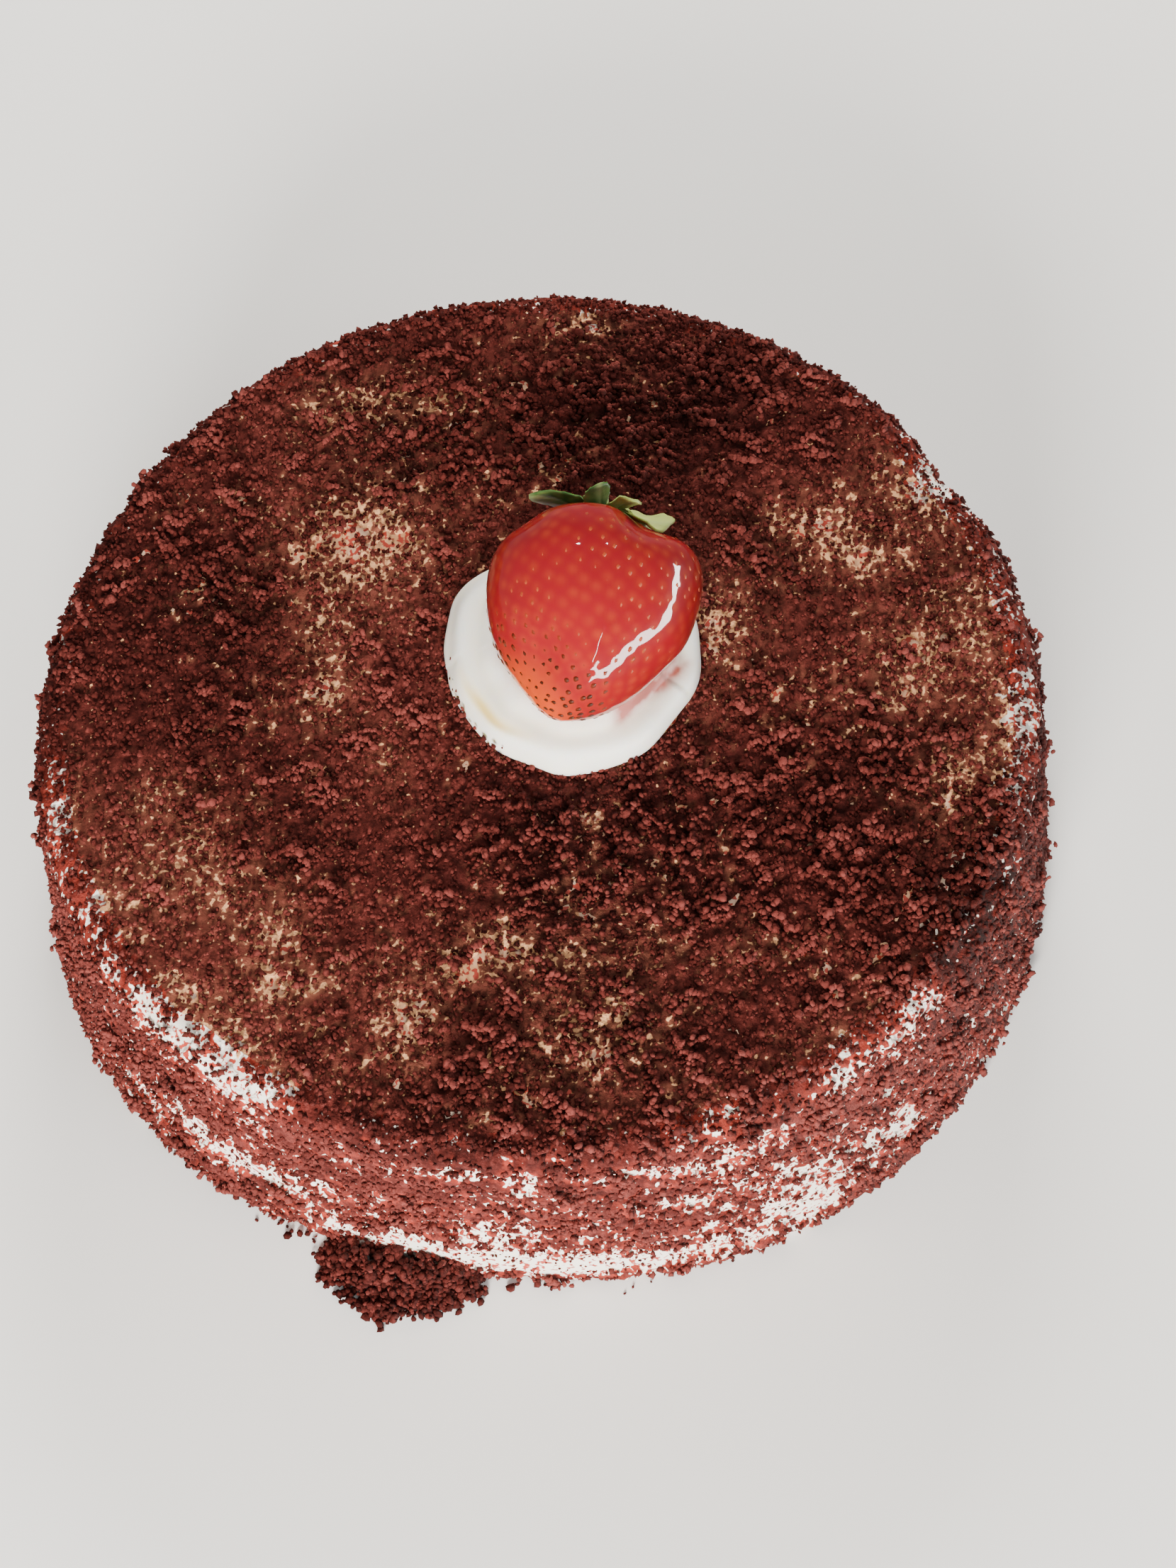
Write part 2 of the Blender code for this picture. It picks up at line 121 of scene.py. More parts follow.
# Where the cream shows through on the side: (degrees round from +X, height in mm, half widths, how bare)
BARE_SIDE = (
    (-145, 14, 5, 5, 1.1),
    (-136, 22, 6, 7, 1.4),
    (-127, 20, 7, 5, 1.5),
    (-119, 27, 6, 5, 1.2),
    (-116, 10, 6, 5, 1.1),
    (-103, 10, 12, 6, 1.4),
    (-99, 22, 6, 5, 0.8),
    (-90, 8, 9, 5, 1.3),
    (-76, 8, 8, 4, 0.8),
    (-106, 48, 4, 3, 0.9),
    (-98, 48, 4, 3, 0.8),
    (-90, 49, 6, 3, 0.6),
    (-81, 46, 5, 4, 0.8),
    (-73, 43, 6, 5, 1.0),
    (-78, 33, 6, 5, 0.8),
    (-66, 27, 5, 6, 0.8),
    (-64, 13, 6, 7, 1.05),
    (-54, 21, 6, 5, 1.0),
    (-50, 16, 4, 4, 0.8),
    (-45, 52, 6, 3, 0.9),
    (-30, 14, 12, 8, 0.7),
    (-5, 26, 10, 9, 0.7),
    (18, 34, 10, 9, 0.8),
    (48, 14, 14, 8, 0.9),
    (80, 36, 10, 8, 0.7),
    (108, 16, 16, 8, 1.0),
    (140, 32, 9, 8, 0.7),
    (172, 15, 14, 8, 0.9),
    (-166, 17, 8, 8, 0.6),
)

# A drip of glaze on the berry, in mm of its own frame
GLAZE_DRIP = ((3.6, 14.4, 5.5), (2.5, 13.2, 9), (1, 10.8, 13))

# Where the berry is flatter or fuller than a plain one, in mm: (x, z, how deep, how far it spreads)
BERRY_DENTS = (
    (10, -17, 3.1, 5.6),
    (-13.5, -15, 0.9, 4.0),
    (-9.5, 13, 2.2, 6.5),
    (17, 5, -0.6, 5.0),
    (-3, 21, 0.6, 4.0),
)

# The sepals round the calyx: (angle in degrees, length, curl at the tip and tilt in mm, fullness, how faded)
SEPALS = (
    (-38, 12, 2.5, 0.0, 1.8, 0.6),
    (20, 14.5, 1.4, -5.0, 3.0, 1.0),
    (54, 11, 3.2, -0.8, 2.6, 0.85),
    (90, 8.6, 3.0, -2.4, 2.6, 0.1),
    (156, 12.6, 3.4, -1.0, 1.9, 0.05),
    (226, 13, 3.0, 0.0, 1.6, 0.2),
    (272, 12, 3.0, 0.0, 1.6, 0.4),
)

# The piped rope: how far apart its turns lie, and where it ends
ROPE_PITCH = 6.2 * MM
ROPE_END_ANGLE = math.radians(-28)
# Where the rosette's edge bulges out or is drawn in: (angle and spread in radians, how far out in mm)
EDGE_SHIFTS = (
    (math.radians(138), math.radians(26), 2.8),
    (-0.7, 0.55, -1.6),
    (-2.3, 0.4, -1.1),
)
# Where the cream is creased, with painted shade along the crease: (share of the radius, its spread, angle,
# its spread)
CREASE = (0.86, 0.04, math.radians(-145), 0.4)
# Where a painted shadow and red reflection of the berry run over the cream, in mm from the rosette's middle
BERRY_SHADOW_RUN = ((18.8, -5.4), (17.5, -7), (14.6, -10.1), (11.8, -12.9), (8.6, -15.4))

# Between which angles the fallen crumbs lie against the foot, and where most of the strays are
DRIFT_ANGLES = (math.radians(-119), math.radians(-102))
STRAYS_ANGLE = math.radians(-112)

# Anything lower than this is on the side, not on the top
TOP_FROM = 50 * MM


class CakeSettings(bpy.types.PropertyGroup):
    """The cake's body and the cream spread over it."""

    height: FloatProperty(name="Height", description="Base to level top", default=55 * MM, unit="LENGTH")
    rim_radius: FloatProperty(
        name="Rim radius", description="Top edge, to the outside", default=98.5 * MM, unit="LENGTH"
    )
    foot_radius: FloatProperty(
        name="Foot radius", description="Base, to the outside", default=104.5 * MM, unit="LENGTH"
    )
    rim_rounding: FloatProperty(name="Rim rounding", description="Top edge", default=5 * MM, unit="LENGTH")
    foot_rounding: FloatProperty(
        name="Foot rounding", description="Bottom edge", default=2 * MM, unit="LENGTH"
    )
    cream_depth: FloatProperty(
        name="Cream depth",
        description="How far the cream lies under the crumbs",
        default=0.5 * MM,
        unit="LENGTH",
    )
    smear: FloatProperty(
        name="Smear relief", description="Height of the knife's smears", default=0.25 * MM, unit="LENGTH"
    )
    cream: FloatVectorProperty(
        name="Cream", description="Cream coat", subtype="COLOR", default=(0.9, 0.84, 0.74), size=3
    )
    dusted: FloatVectorProperty(
        name="Dusted cream",
        description="Cream under crumb dust",
        subtype="COLOR",
        default=(0.66, 0.34, 0.165),
        size=3,
    )


class CrumbSettings(bpy.types.PropertyGroup):
    """The cake crumbs pressed on the cream."""

    bed_step: FloatProperty(
        name="Bed step", description="Spacing of the crumb bed's points", default=0.68 * MM, unit="LENGTH"
    )
    bed_depth: FloatProperty(
        name="Bed depth", description="From bare to thick crumbs", default=1.8 * MM, unit="LENGTH"
    )
    grain: FloatProperty(name="Grain", description="Size of a usual crumb", default=1.5 * MM, unit="LENGTH")
    clump: FloatProperty(name="Clump", description="Size of a clump", default=3.6 * MM, unit="LENGTH")
    fine_top: IntProperty(name="Fine crumbs on top", description="How many", default=22500, min=0)
    fine_side: IntProperty(name="Fine crumbs on the side", description="How many", default=19000, min=0)
    clumps_top: IntProperty(name="Clumps on top", description="How many", default=425, min=0)
    clumps_side: IntProperty(name="Clumps on the side", description="How many", default=170, min=0)
    fallen: IntProperty(name="Fallen crumbs", description="How many at the foot", default=2200, min=0)
    # Painted shade: the colour of the crumbs in the hollows
    deep: FloatVectorProperty(
        name="Deep",
        description="Crumbs in the hollows",
        subtype="COLOR",
        default=(0.024, 0.005, 0.004),
        size=3,
    )
    middle: FloatVectorProperty(
        name="Middle", description="Most crumbs", subtype="COLOR", default=(0.07, 0.0135, 0.011), size=3
    )
    rubbed: FloatVectorProperty(
        name="Rubbed",
        description="Crumbs rubbed thin on top",
        subtype="COLOR",
        default=(0.22, 0.075, 0.045),
        size=3,
    )
    # Partly painted light: lighter and redder than the rubbed crumbs on top, for the warm light on the side
    dusty: FloatVectorProperty(
        name="Dusty",
        description="Crumbs rubbed thin on the side",
        subtype="COLOR",
        default=(0.4, 0.047, 0.029),
        size=3,
    )
    # Painted highlight: the colour of the lit, raised crumbs
    light: FloatVectorProperty(
        name="Light", description="Dry crumbs on top", subtype="COLOR", default=(0.17, 0.038, 0.031), size=3
    )


class RosetteSettings(bpy.types.PropertyGroup):
    """The piped cream under the berry."""

    centre: FloatVectorProperty(
        name="Centre",
        description="On the cake's top",
        subtype="TRANSLATION",
        default=(8 * MM, 5 * MM, 0),
        size=3,
    )
    radius: FloatProperty(name="Radius", description="To the outside", default=25.5 * MM, unit="LENGTH")
    height: FloatProperty(name="Height", description="Before the berry", default=13 * MM, unit="LENGTH")
    ridge: FloatProperty(
        name="Ridge depth", description="Of the piped rope", default=0.45 * MM, unit="LENGTH"
    )
    cream: FloatVectorProperty(
        name="Cream", description="Piped cream", subtype="COLOR", default=(0.96, 0.93, 0.86), size=3
    )


class BerrySettings(bpy.types.PropertyGroup):
    """The glazed berry. Its own +Z runs from the calyx to the tip."""

    length: FloatProperty(name="Length", description="Calyx to tip", default=43 * MM, unit="LENGTH")
    width: FloatProperty(name="Width", description="Across", default=40.5 * MM, unit="LENGTH")
    thickness: FloatProperty(name="Thickness", description="As it lies", default=36 * MM, unit="LENGTH")
    bend: FloatProperty(name="Bend", description="How far the tip leans", default=4 * MM, unit="LENGTH")
    centre: FloatVectorProperty(
        name="Centre",
        description="Middle of the berry",
        subtype="TRANSLATION",
        default=(12.3 * MM, 2.8 * MM, 76.5 * MM),
        size=3,
    )
    points_to: FloatVectorProperty(
        name="Points to",
        description="Way the tip points",
        subtype="XYZ",
        default=(-0.16, -0.95, -0.26),
        size=3,
    )
    seed_count: IntProperty(name="Seeds", description="How many", default=620, min=0)
    red: FloatVectorProperty(
        name="Red", description="Ripe flesh", subtype="COLOR", default=(0.22, 0.0055, 0.011), size=3
    )
    # Partly a painted glow of light shining through the tip
    orange: FloatVectorProperty(
        name="Orange", description="Flesh at the tip", subtype="COLOR", default=(0.6, 0.072, 0.003), size=3
    )


class LeafSettings(bpy.types.PropertyGroup):
    """The calyx."""

    hub: FloatProperty(
        name="Hub", description="Radius where the sepals part", default=4.5 * MM, unit="LENGTH"
    )
    lift: FloatProperty(
        name="Lift", description="How far it stands off the skin", default=0.5 * MM, unit="LENGTH"
    )
    thickness: FloatProperty(name="Thickness", description="Of a leaf", default=0.45 * MM, unit="LENGTH")
    green: FloatVectorProperty(
        name="Green", description="Fresh leaf", subtype="COLOR", default=(0.042, 0.1, 0.024), size=3
    )
    pale: FloatVectorProperty(
        name="Pale", description="Faded leaf", subtype="COLOR", default=(0.33, 0.38, 0.1), size=3
    )


SETTINGS = {
    "cake_body": CakeSettings,
    "cake_crumbs": CrumbSettings,
    "cake_rosette": RosetteSettings,
    "cake_berry": BerrySettings,
    "cake_leaves": LeafSettings,
}


# ---------------------------------------------------------------- shape helpers


def smooth_step(low, high, value):
    """0 below low, 1 above high, and an S curve between. Works on arrays."""
    share = np.clip((value - low) / (high - low), 0, 1)
    return share * share * (3 - 2 * share)


def hashed(cell, salt):
    """A repeatable number in 0..1 for each lattice cell."""
    mixed = cell[:, 0] * 374761393 + cell[:, 1] * 668265263 + cell[:, 2] * 1442695041 + salt * 1274126177
    mixed &= 0xFFFFFFFF
    mixed = ((mixed ^ (mixed >> 13)) * 1274126177) & 0xFFFFFFFF
    return (mixed ^ (mixed >> 16)) / 0x100000000


def soft_noise(points, size, salt):
    """Smooth noise in -1..1 with waves of about this size."""
    scaled = points / size
    cell = np.floor(scaled).astype(np.int64)
    inside = scaled - cell
    blend = inside * inside * (3 - 2 * inside)
    total = np.zeros(len(points))
    for corner in itertools.product((0, 1), repeat=3):
        weight = np.where(np.array(corner, bool), blend, 1 - blend).prod(axis=1)
        total += weight * hashed(cell + np.array(corner), salt)
    return 2 * total - 1


def rough_noise(points, sizes, salt):
    """Smooth noise of several sizes summed, each in its own turned frame, in about -1..1."""
    total = np.zeros(len(points))
    turned = points
    for k, (size, weight) in enumerate(sizes):
        turned = turned @ OCTAVE_TURN
        total += weight * soft_noise(turned, size, salt + k)
    return total


def nearest_crumb(points, size, salt):
    """Distance to the nearest of many scattered centres, in their spacing, and its random number."""
    scaled = points @ OCTAVE_TURN / size
    cell = np.floor(scaled).astype(np.int64)
    best = np.full(len(points), np.inf)
    mark = np.zeros(len(points))
    for step in itertools.product((-1, 0, 1), repeat=3):
        near = cell + np.array(step)
        centre = near + np.stack([hashed(near, salt + k) for k in (1, 2, 3)], axis=1)
        off = np.linalg.norm(scaled - centre, axis=1)
        mark = np.where(off < best, hashed(near, salt), mark)
        best = np.minimum(off, best)
    return best, mark


def new_object(name, data):
    """A new object in the scene."""
    obj = bpy.data.objects.new(name, data)
    bpy.context.scene.collection.objects.link(obj)
    return obj


def mesh_object(name, points, faces):
    """A new smooth-shaded object from an array of points and an array or a list of faces."""
    mesh = bpy.data.meshes.new(name)
    mesh.from_pydata(points.tolist(), [], faces.tolist() if isinstance(faces, np.ndarray) else faces)
    mesh.update()
    mesh.shade_smooth()
    return new_object(name, mesh)


def distance_along(points):
    """How far along a chain each of its points lies."""
    steps = np.linalg.norm(np.diff(points, axis=0), axis=1)
    return np.concatenate([[0], np.cumsum(steps)])


def ways(polar, around):
    """Unit vectors at these angles from -Z and about Z, in radians."""
    flat = np.sin(polar)
    return np.stack([flat * np.cos(around), flat * np.sin(around), -np.cos(polar)], axis=1)


def mark_points(obj, name, values):
    """Keeps one number for each point, for the material to read."""
    layer = obj.data.attributes.new(name, "FLOAT", "POINT")
    layer.data.foreach_set("value", np.ascontiguousarray(values, dtype=np.float32))


def grid_faces(rows, columns, wraps):
    """Quads between rows of points. The last column joins the first where it wraps."""
    last = columns if wraps else columns - 1
    row, column = np.meshgrid(np.arange(rows - 1), np.arange(last), indexing="ij")
    here = row * columns + column
    beside = row * columns + (column + 1) % columns
    return np.stack([here, here + columns, beside + columns, beside], axis=-1).reshape(-1, 4)


def capped_faces(rows, columns):
    """Quads round a closed tube of rows of points, and a flat cap at each end."""
    first = list(range(columns))
    last = list(range(rows * columns - 1, (rows - 1) * columns - 1, -1))
    return grid_faces(rows, columns, True).tolist() + [first, last]


def bake_modifiers(obj):
    """Makes the object's evaluated mesh its own."""
    graph = bpy.context.evaluated_depsgraph_get()
    graph.update()
    mesh = bpy.data.meshes.new_from_object(obj.evaluated_get(graph))
    if not mesh.polygons:
        raise RuntimeError(f"{obj.name} came out empty")
    obj.modifiers.clear()
    obj.data = mesh


def finish_piece(obj, material, slot, *nodes):
    """Gives a piece its material, makes it ride on the root, and hides the solids it stands for."""
    obj.data.materials.clear()
    obj.data.materials.append(material)
    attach(obj, "root")
    if nodes:
        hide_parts(*nodes)


# ---------------------------------------------------------------- material helpers


def set_inputs(node, values):
    """Sets a node's inputs by name, with a low line for each space."""
    for key, value in values.items():
        node.inputs[key.replace("_", " ")].default_value = value


def new_material(name, **values):
    """A material, its node tree, and its Principled shader with these inputs."""
    material = bpy.data.materials.new(name)
    material.use_nodes = True
    shader = material.node_tree.nodes["Principled BSDF"]
    set_inputs(shader, values)
    return material, material.node_tree, shader


def add_node(tree, kind, links=(), **values):
    """A node with input values by name, and links as (input name, source socket)."""
    made = tree.nodes.new("ShaderNode" + kind)
    set_inputs(made, values)
    for key, source in links:
        tree.links.new(source, made.inputs[key])
    return made


def ramp(tree, source, stops):
    """A colour ramp through (place, colour) stops."""
    made = add_node(tree, "ValToRGB", (("Fac", source),))
    points = made.color_ramp.elements
    while len(points) < len(stops):
        points.new(0.5)
    for point, (place, color) in zip(points, stops):
        point.position = place
        point.color = (*color, 1)
    return made.outputs["Color"]


def math_node(tree, operation, first, second):
    """A Math node on two sockets or numbers."""
    made = tree.nodes.new("ShaderNodeMath")
    made.operation = operation
    for socket, value in zip(made.inputs, (first, second)):
        if isinstance(value, bpy.types.NodeSocket):
            tree.links.new(value, socket)
        else:
            socket.default_value = value
    return made.outputs["Value"]


def mixed(tree, factor, first, second):
    """The colour between two, by a factor."""
    made = tree.nodes.new("ShaderNodeMix")
    made.data_type = "RGBA"
    tree.links.new(factor, made.inputs["Factor"])
    for socket, value in zip((made.inputs[6], made.inputs[7]), (first, second)):
        if isinstance(value, bpy.types.NodeSocket):
            tree.links.new(value, socket)
        else:
            socket.default_value = (*value, 1)
    return made.outputs[2]


def noise_at(tree, scale, detail=2.0):
    """Noise in the piece's own space, with this many waves a metre."""
    where = add_node(tree, "TexCoord")
    made = add_node(tree, "TexNoise", (("Vector", where.outputs["Object"]),), Scale=scale, Detail=detail)
    return made.outputs["Fac"]


def attribute(tree, name):
    """A number kept with each point."""
    made = add_node(tree, "Attribute")
    made.attribute_name = name
    return made.outputs["Fac"]


def bump(tree, shader, height, distance, strength=1.0, socket="Normal"):
    """Raises fine relief on a shader."""
    made = add_node(tree, "Bump", (("Height", height),), Distance=distance, Strength=strength)
    tree.links.new(made.outputs["Normal"], shader.inputs[socket])


def crumb_color(tree, crumbs):
    """Crumb brown by the kept tone, with painted shade darker in the hollows and a painted highlight, redder
    and lighter, on the raised crumbs.
    """
    mottle = math_node(tree, "MULTIPLY", math_node(tree, "SUBTRACT", noise_at(tree, 700), 0.5), 0.5)
    grit = math_node(tree, "MULTIPLY", math_node(tree, "SUBTRACT", noise_at(tree, 1700, 1.0), 0.5), 0.7)
    tone = math_node(tree, "ADD", attribute(tree, "tone"), math_node(tree, "ADD", mottle, grit))
    return ramp(tree, tone, ((0.05, crumbs.deep), (0.5, crumbs.middle), (1.0, crumbs.light)))


def crumb_material(crumbs):
    """Dry, matte cake crumb."""
    material, tree, shader = new_material("cake_crumb", Roughness=0.92, Specular_IOR_Level=0.2)
    tree.links.new(crumb_color(tree, crumbs), shader.inputs["Base Color"])
    bump(tree, shader, noise_at(tree, 2200, 3.0), 0.3 * MM, 0.8)
    return material


def bed_material(name, crumbs, shows, rubbed, least):
    """Crumbs pressed flat. Where they lie thin they are rubbed, and flecks of what lies below show."""
    material, tree, shader = new_material(name, Roughness=0.9, Specular_IOR_Level=0.2)
    thin = attribute(tree, "thin")
    dusty = mixed(tree, thin, crumb_color(tree, crumbs), tuple(rubbed))
    seen = math_node(tree, "ADD", noise_at(tree, 850, 1.5), math_node(tree, "MULTIPLY", thin, 0.28))
    fleck = ramp(tree, seen, ((least, (0, 0, 0)), (least + 0.07, (1, 1, 1))))
    tree.links.new(mixed(tree, fleck, dusty, tuple(shows)), shader.inputs["Base Color"])
    bump(tree, shader, noise_at(tree, 1300, 3.0), 0.5 * MM, 1.0)
    return material


def coat_material(cake, crumbs):
    """Spread cream, with fine crumb dust rubbed into it on top."""
    material, tree, shader = new_material(
        "spread_cream",
        Roughness=0.5,
        Subsurface_Weight=0.25,
        Subsurface_Radius=(1.0, 0.7, 0.45),
        Subsurface_Scale=1.5 * MM,
    )
    clouds = math_node(tree, "SUBTRACT", noise_at(tree, 160), 0.62)
    cloudy = math_node(tree, "ADD", attribute(tree, "dust"), clouds)
    base = mixed(tree, math_node(tree, "MAXIMUM", cloudy, 0.0), tuple(cake.cream), tuple(cake.dusted))
    rubbed = math_node(tree, "MULTIPLY", attribute(tree, "dust"), 0.07)
    strewn = math_node(tree, "ADD", noise_at(tree, 900, 1.5), rubbed)
    speck = ramp(tree, strewn, ((0.56, (0, 0, 0)), (0.61, (1, 1, 1))))
    tree.links.new(mixed(tree, speck, base, tuple(crumbs.dusty)), shader.inputs["Base Color"])
    bump(tree, shader, noise_at(tree, 500), 0.3 * MM, 0.5)
    return material


# ---------------------------------------------------------------- cake surface


def outline_shift(cake, angle, z):
    """How far the cake's outline lies outside a circle at this angle and height."""
    height = z / cake.height
    waves = sum(depth * np.cos(count * angle + phase) for count, depth, phase in OUTLINE_WAVES)
    off_dent = (angle - RIM_DENT_ANGLE + math.pi) % math.tau - math.pi
    dent = RIM_DENT_DEPTH * np.exp(-((off_dent / RIM_DENT_WIDTH) ** 2)) * height**3
    return waves * (1 - (1 - RIM_WAVE_SHARE) * height) - dent


def settle(cake, points):
    """Moves points of the plain turned cake to the uneven outline."""
    angle = np.arctan2(points[:, 1], points[:, 0])
    radius = np.hypot(points[:, 0], points[:, 1])
    shift = outline_shift(cake, angle, points[:, 2]) * (radius / cake.rim_radius) ** 3
    outward = np.stack([np.cos(angle), np.sin(angle), np.zeros_like(angle)], axis=1)
    return points + outward * shift[:, None]


def arc(centre_x, centre_z, radius, first, last, step):
    """Points and outward normals of an arc, as rows of x, z, normal x, normal z."""
    count = max(2, int(abs(math.radians(last - first)) * radius / step) + 1)
    turn = np.radians(np.linspace(first, last, count))
    cos, sin = np.cos(turn), np.sin(turn)
    return np.stack([centre_x + radius * cos, centre_z + radius * sin, cos, sin], axis=1)


def straight(start, end, step):
    """Points along a straight run of the profile, with the normal to its left."""
    start, end = np.array(start), np.array(end)
    count = max(2, int(np.linalg.norm(end - start) / step) + 1)
    share = np.linspace(0, 1, count)[:, None]
    run = (end - start) / np.linalg.norm(end - start)
    normal = np.array([-run[1], run[0]])
    return np.hstack([start + (end - start) * share, np.tile(normal, (count, 1))])


def side_profile(cake, top_lap, step):
    """The profile from a little way in on the top, over the rim, down the side and round the foot."""
    rim_x, rim_z = cake.rim_radius - cake.rim_rounding, cake.height - cake.rim_rounding
    foot_x, foot_z = cake.foot_radius - cake.foot_rounding, cake.foot_rounding
    runs = [
        straight((rim_x - top_lap, cake.height), (rim_x, cake.height), step),
        arc(rim_x, rim_z, cake.rim_rounding, 90, 5, step)[1:],
        straight((cake.rim_radius, rim_z), (cake.foot_radius, foot_z), step)[1:],
        arc(foot_x, foot_z, cake.foot_rounding, 0, -75, step)[1:],
    ]
    return np.vstack(runs)


def turned_surface(profile, around):
    """Points and normals of a profile turned about Z, row by row."""
    turn = np.linspace(0, math.tau, around, endpoint=False)
    cos, sin = np.cos(turn)[None, :], np.sin(turn)[None, :]
    x, z, normal_x, normal_z = (column[:, None] for column in profile.T)
    flat = np.ones_like(cos)
    points = np.stack([x * cos, x * sin, z * flat], axis=-1).reshape(-1, 3)
    normals = np.stack([normal_x * cos, normal_x * sin, normal_z * flat], axis=-1).reshape(-1, 3)
    return points, normals


def under_rosette(rosette, points, inset):
    """1 under the rosette, falling to 0 at its edge less the inset."""
    off = np.hypot(points[:, 0] - rosette.centre[0], points[:, 1] - rosette.centre[1])
    on_top = points[:, 2] > TOP_FROM
    return on_top * (1 - smooth_step(rosette.radius - inset - 2 * MM, rosette.radius - inset, off))


def patch(x, y, places, spread=1.0):
    """The sum of soft round patches at these places, in mm, each spread out this many times."""
    total = np.zeros_like(x)
    for centre_x, centre_y, half_x, half_y, strength in places:
        off = ((x - centre_x) / half_x) ** 2 + ((y - centre_y) / half_y) ** 2
        total += strength * np.exp(-off / spread**2)
    return total


def top_share(cake, points):
    """1 on the level top, falling to 0 over the rim."""
    return smooth_step(cake.height - 7 * MM, cake.height - 2 * MM, points[:, 2])


def crumb_cover(cake, points):
    """How well crumbs cover the cream at points of the cake's surface: 0 for bare, 1 for covered."""
    x, y, z = (points / MM).T
    top = top_share(cake, points)
    angle = np.degrees(np.arctan2(y, x))
    unrolled = sum(patch(angle + turn, z, BARE_SIDE) for turn in (-360, 0, 360))
    uneven = rough_noise(points, ((26 * MM, 0.16), (10 * MM, 0.14)), 3)
    on_top = 0.93 - 0.5 * patch(x, y, BARE_TOP)
    at_rim = smooth_step(36, 51, z)
    on_side = 0.86 - 0.55 * unrolled - 0.4 * patch(x, y, BARE_TOP) * at_rim
    return on_top * top + on_side * (1 - top) + uneven


def coarseness(cake, points):
    """How coarse the crumbs are, 0 to 1."""
    x, y, _ = (points / MM).T
    uneven = 0.3 * soft_noise(points, 16 * MM, 8)
    top = top_share(cake, points)
    return np.clip(0.1 + patch(x, y, COARSE_TOP) * top + 0.25 * (1 - top) + uneven, 0, 1)


def bed_height(cake, crumbs, points):
    """The bed's height over the mean surface, where it holds (0 to 1), its tone and how thin it lies."""
    warp = 0.7 * MM * np.stack([soft_noise(points, 2.2 * MM, salt) for salt in (14, 15, 16)], axis=1)
    top = top_share(cake, points)
    broad = rough_noise(points + warp, ((3.8 * MM, 0.34), (2.0 * MM, 0.4)), 10)
    narrow = rough_noise(points + warp, ((1.5 * MM, 0.42), (1.0 * MM, 0.3)), 12)
    thickness = crumb_cover(cake, points) + broad * (0.5 + 0.1 * top) + narrow * (1 - 0.3 * top)
    held = smooth_step(0.34 - 0.06 * top, 0.46 - 0.06 * top, thickness)
    coarse = coarseness(cake, points)
    clump, clump_mark = nearest_crumb(points, crumbs.clump, 20)
    grain, grain_mark = nearest_crumb(points, crumbs.grain, 40)
    relief = (0.8 + 1.6 * coarse) * (0.5 - clump) + 0.9 * (0.5 - grain) + 0.4 * (thickness - 0.9)
    height = held * (0.25 * MM + relief * MM) - (1 - held) * crumbs.bed_depth
    height = np.where(held > 0.5, np.maximum(height, -0.1 * MM - 0.9 * MM * coarse), height)
    # Painted shade and light in the tone: darker where the crumbs lie coarse and in the hollows, lighter on
    # the raised crumbs; the marks differ at random
    tone = 0.46 - 0.3 * coarse + 0.3 * (grain_mark - 0.5) + 0.14 * (clump_mark - 0.5) + 0.26 * relief
    # Painted light: the side is lighter than the top, which faces the light less; on top the tone changes
    # slowly at random
    tone += 0.24 * (1 - top) + 0.13 * top * soft_noise(points, 26 * MM, 17)
    halo = 0.42 * top * np.minimum(1, patch(points[:, 0] / MM, points[:, 1] / MM, BARE_TOP, 1.7))
    thin = np.clip(1 - smooth_step(0.3, 0.85, thickness) + halo, 0, 1)
    return height, held, tone, thin


# ---------------------------------------------------------------- pieces


def make_coat(cake, material):
    """The cream spread over the whole cake, down to its flat base."""
    step = 2.4 * MM
    side = side_profile(cake, 2 * MM, step)
    rings = np.linspace(0.5 * MM, side[0, 0] - step, 34)
    top = np.array([(x, cake.height, 0, 1) for x in rings])
    base = np.array([(x, 0, 0, -1) for x in np.linspace(cake.foot_radius - 3 * MM, 0.5 * MM, 12)])
    profile = np.vstack([top, side, base])
    around = 240
    points, normals = turned_surface(profile, around)
    angle = np.arctan2(points[:, 1], points[:, 0])
    from_middle = np.hypot(points[:, 0], points[:, 1])
    strokes = np.stack([angle * 2.2, points[:, 2] / (5 * MM), from_middle / (9 * MM)], axis=1)
    smear = soft_noise(strokes, 1.0, 6) + 0.5 * soft_noise(points, 3 * MM, 7)
    above = smooth_step(0.5 * MM, 3 * MM, points[:, 2])
    moved = settle(cake, points) + normals * ((cake.smear * smear - cake.cream_depth) * above)[:, None]
    obj = mesh_object("cream_coat", moved, capped_faces(len(profile), around))
    from_middle = np.hypot(moved[:, 0], moved[:, 1])
    inner = 1 - smooth_step(cake.rim_radius - 13 * MM, cake.rim_radius - 5 * MM, from_middle)
    mark_points(obj, "dust", inner * smooth_step(cake.height - 5 * MM, cake.height - 1 * MM, moved[:, 2]))
    finish_piece(obj, material, "whipped_cream", "cake")


def make_top_bed(cake, crumbs, rosette, material):
    """The bed of crumbs on the level top, up to the rim's rounding."""
    reach = cake.rim_radius - cake.rim_rounding
    count = int(2 * reach / crumbs.bed_step)
    line = np.linspace(-reach, reach, count)
    x, y = (plane.ravel() for plane in np.meshgrid(line, line, indexing="ij"))
    draw = np.random.default_rng(2)
    shake = draw.uniform(-0.25, 0.25, (2, len(x))) * crumbs.bed_step
    points = np.stack([x + shake[0], y + shake[1], np.full(len(x), cake.height)], axis=1)
    faces = grid_faces(count, count, False)
    kept = (np.hypot(x, y)[faces] < reach).all(axis=1)
    used, faces = np.unique(faces[kept], return_inverse=True)
    points = settle(cake, points[used])
    height, _, tone, thin = bed_height(cake, crumbs, points)
    points[:, 2] += height - 2.2 * MM * under_rosette(rosette, points, 1.5 * MM)
    obj = mesh_object("crumb_bed_top", points, faces.reshape(-1, 4))
    mark_points(obj, "tone", tone)
    mark_points(obj, "thin", thin)
    finish_piece(obj, material, "crumb_coat", "cake")


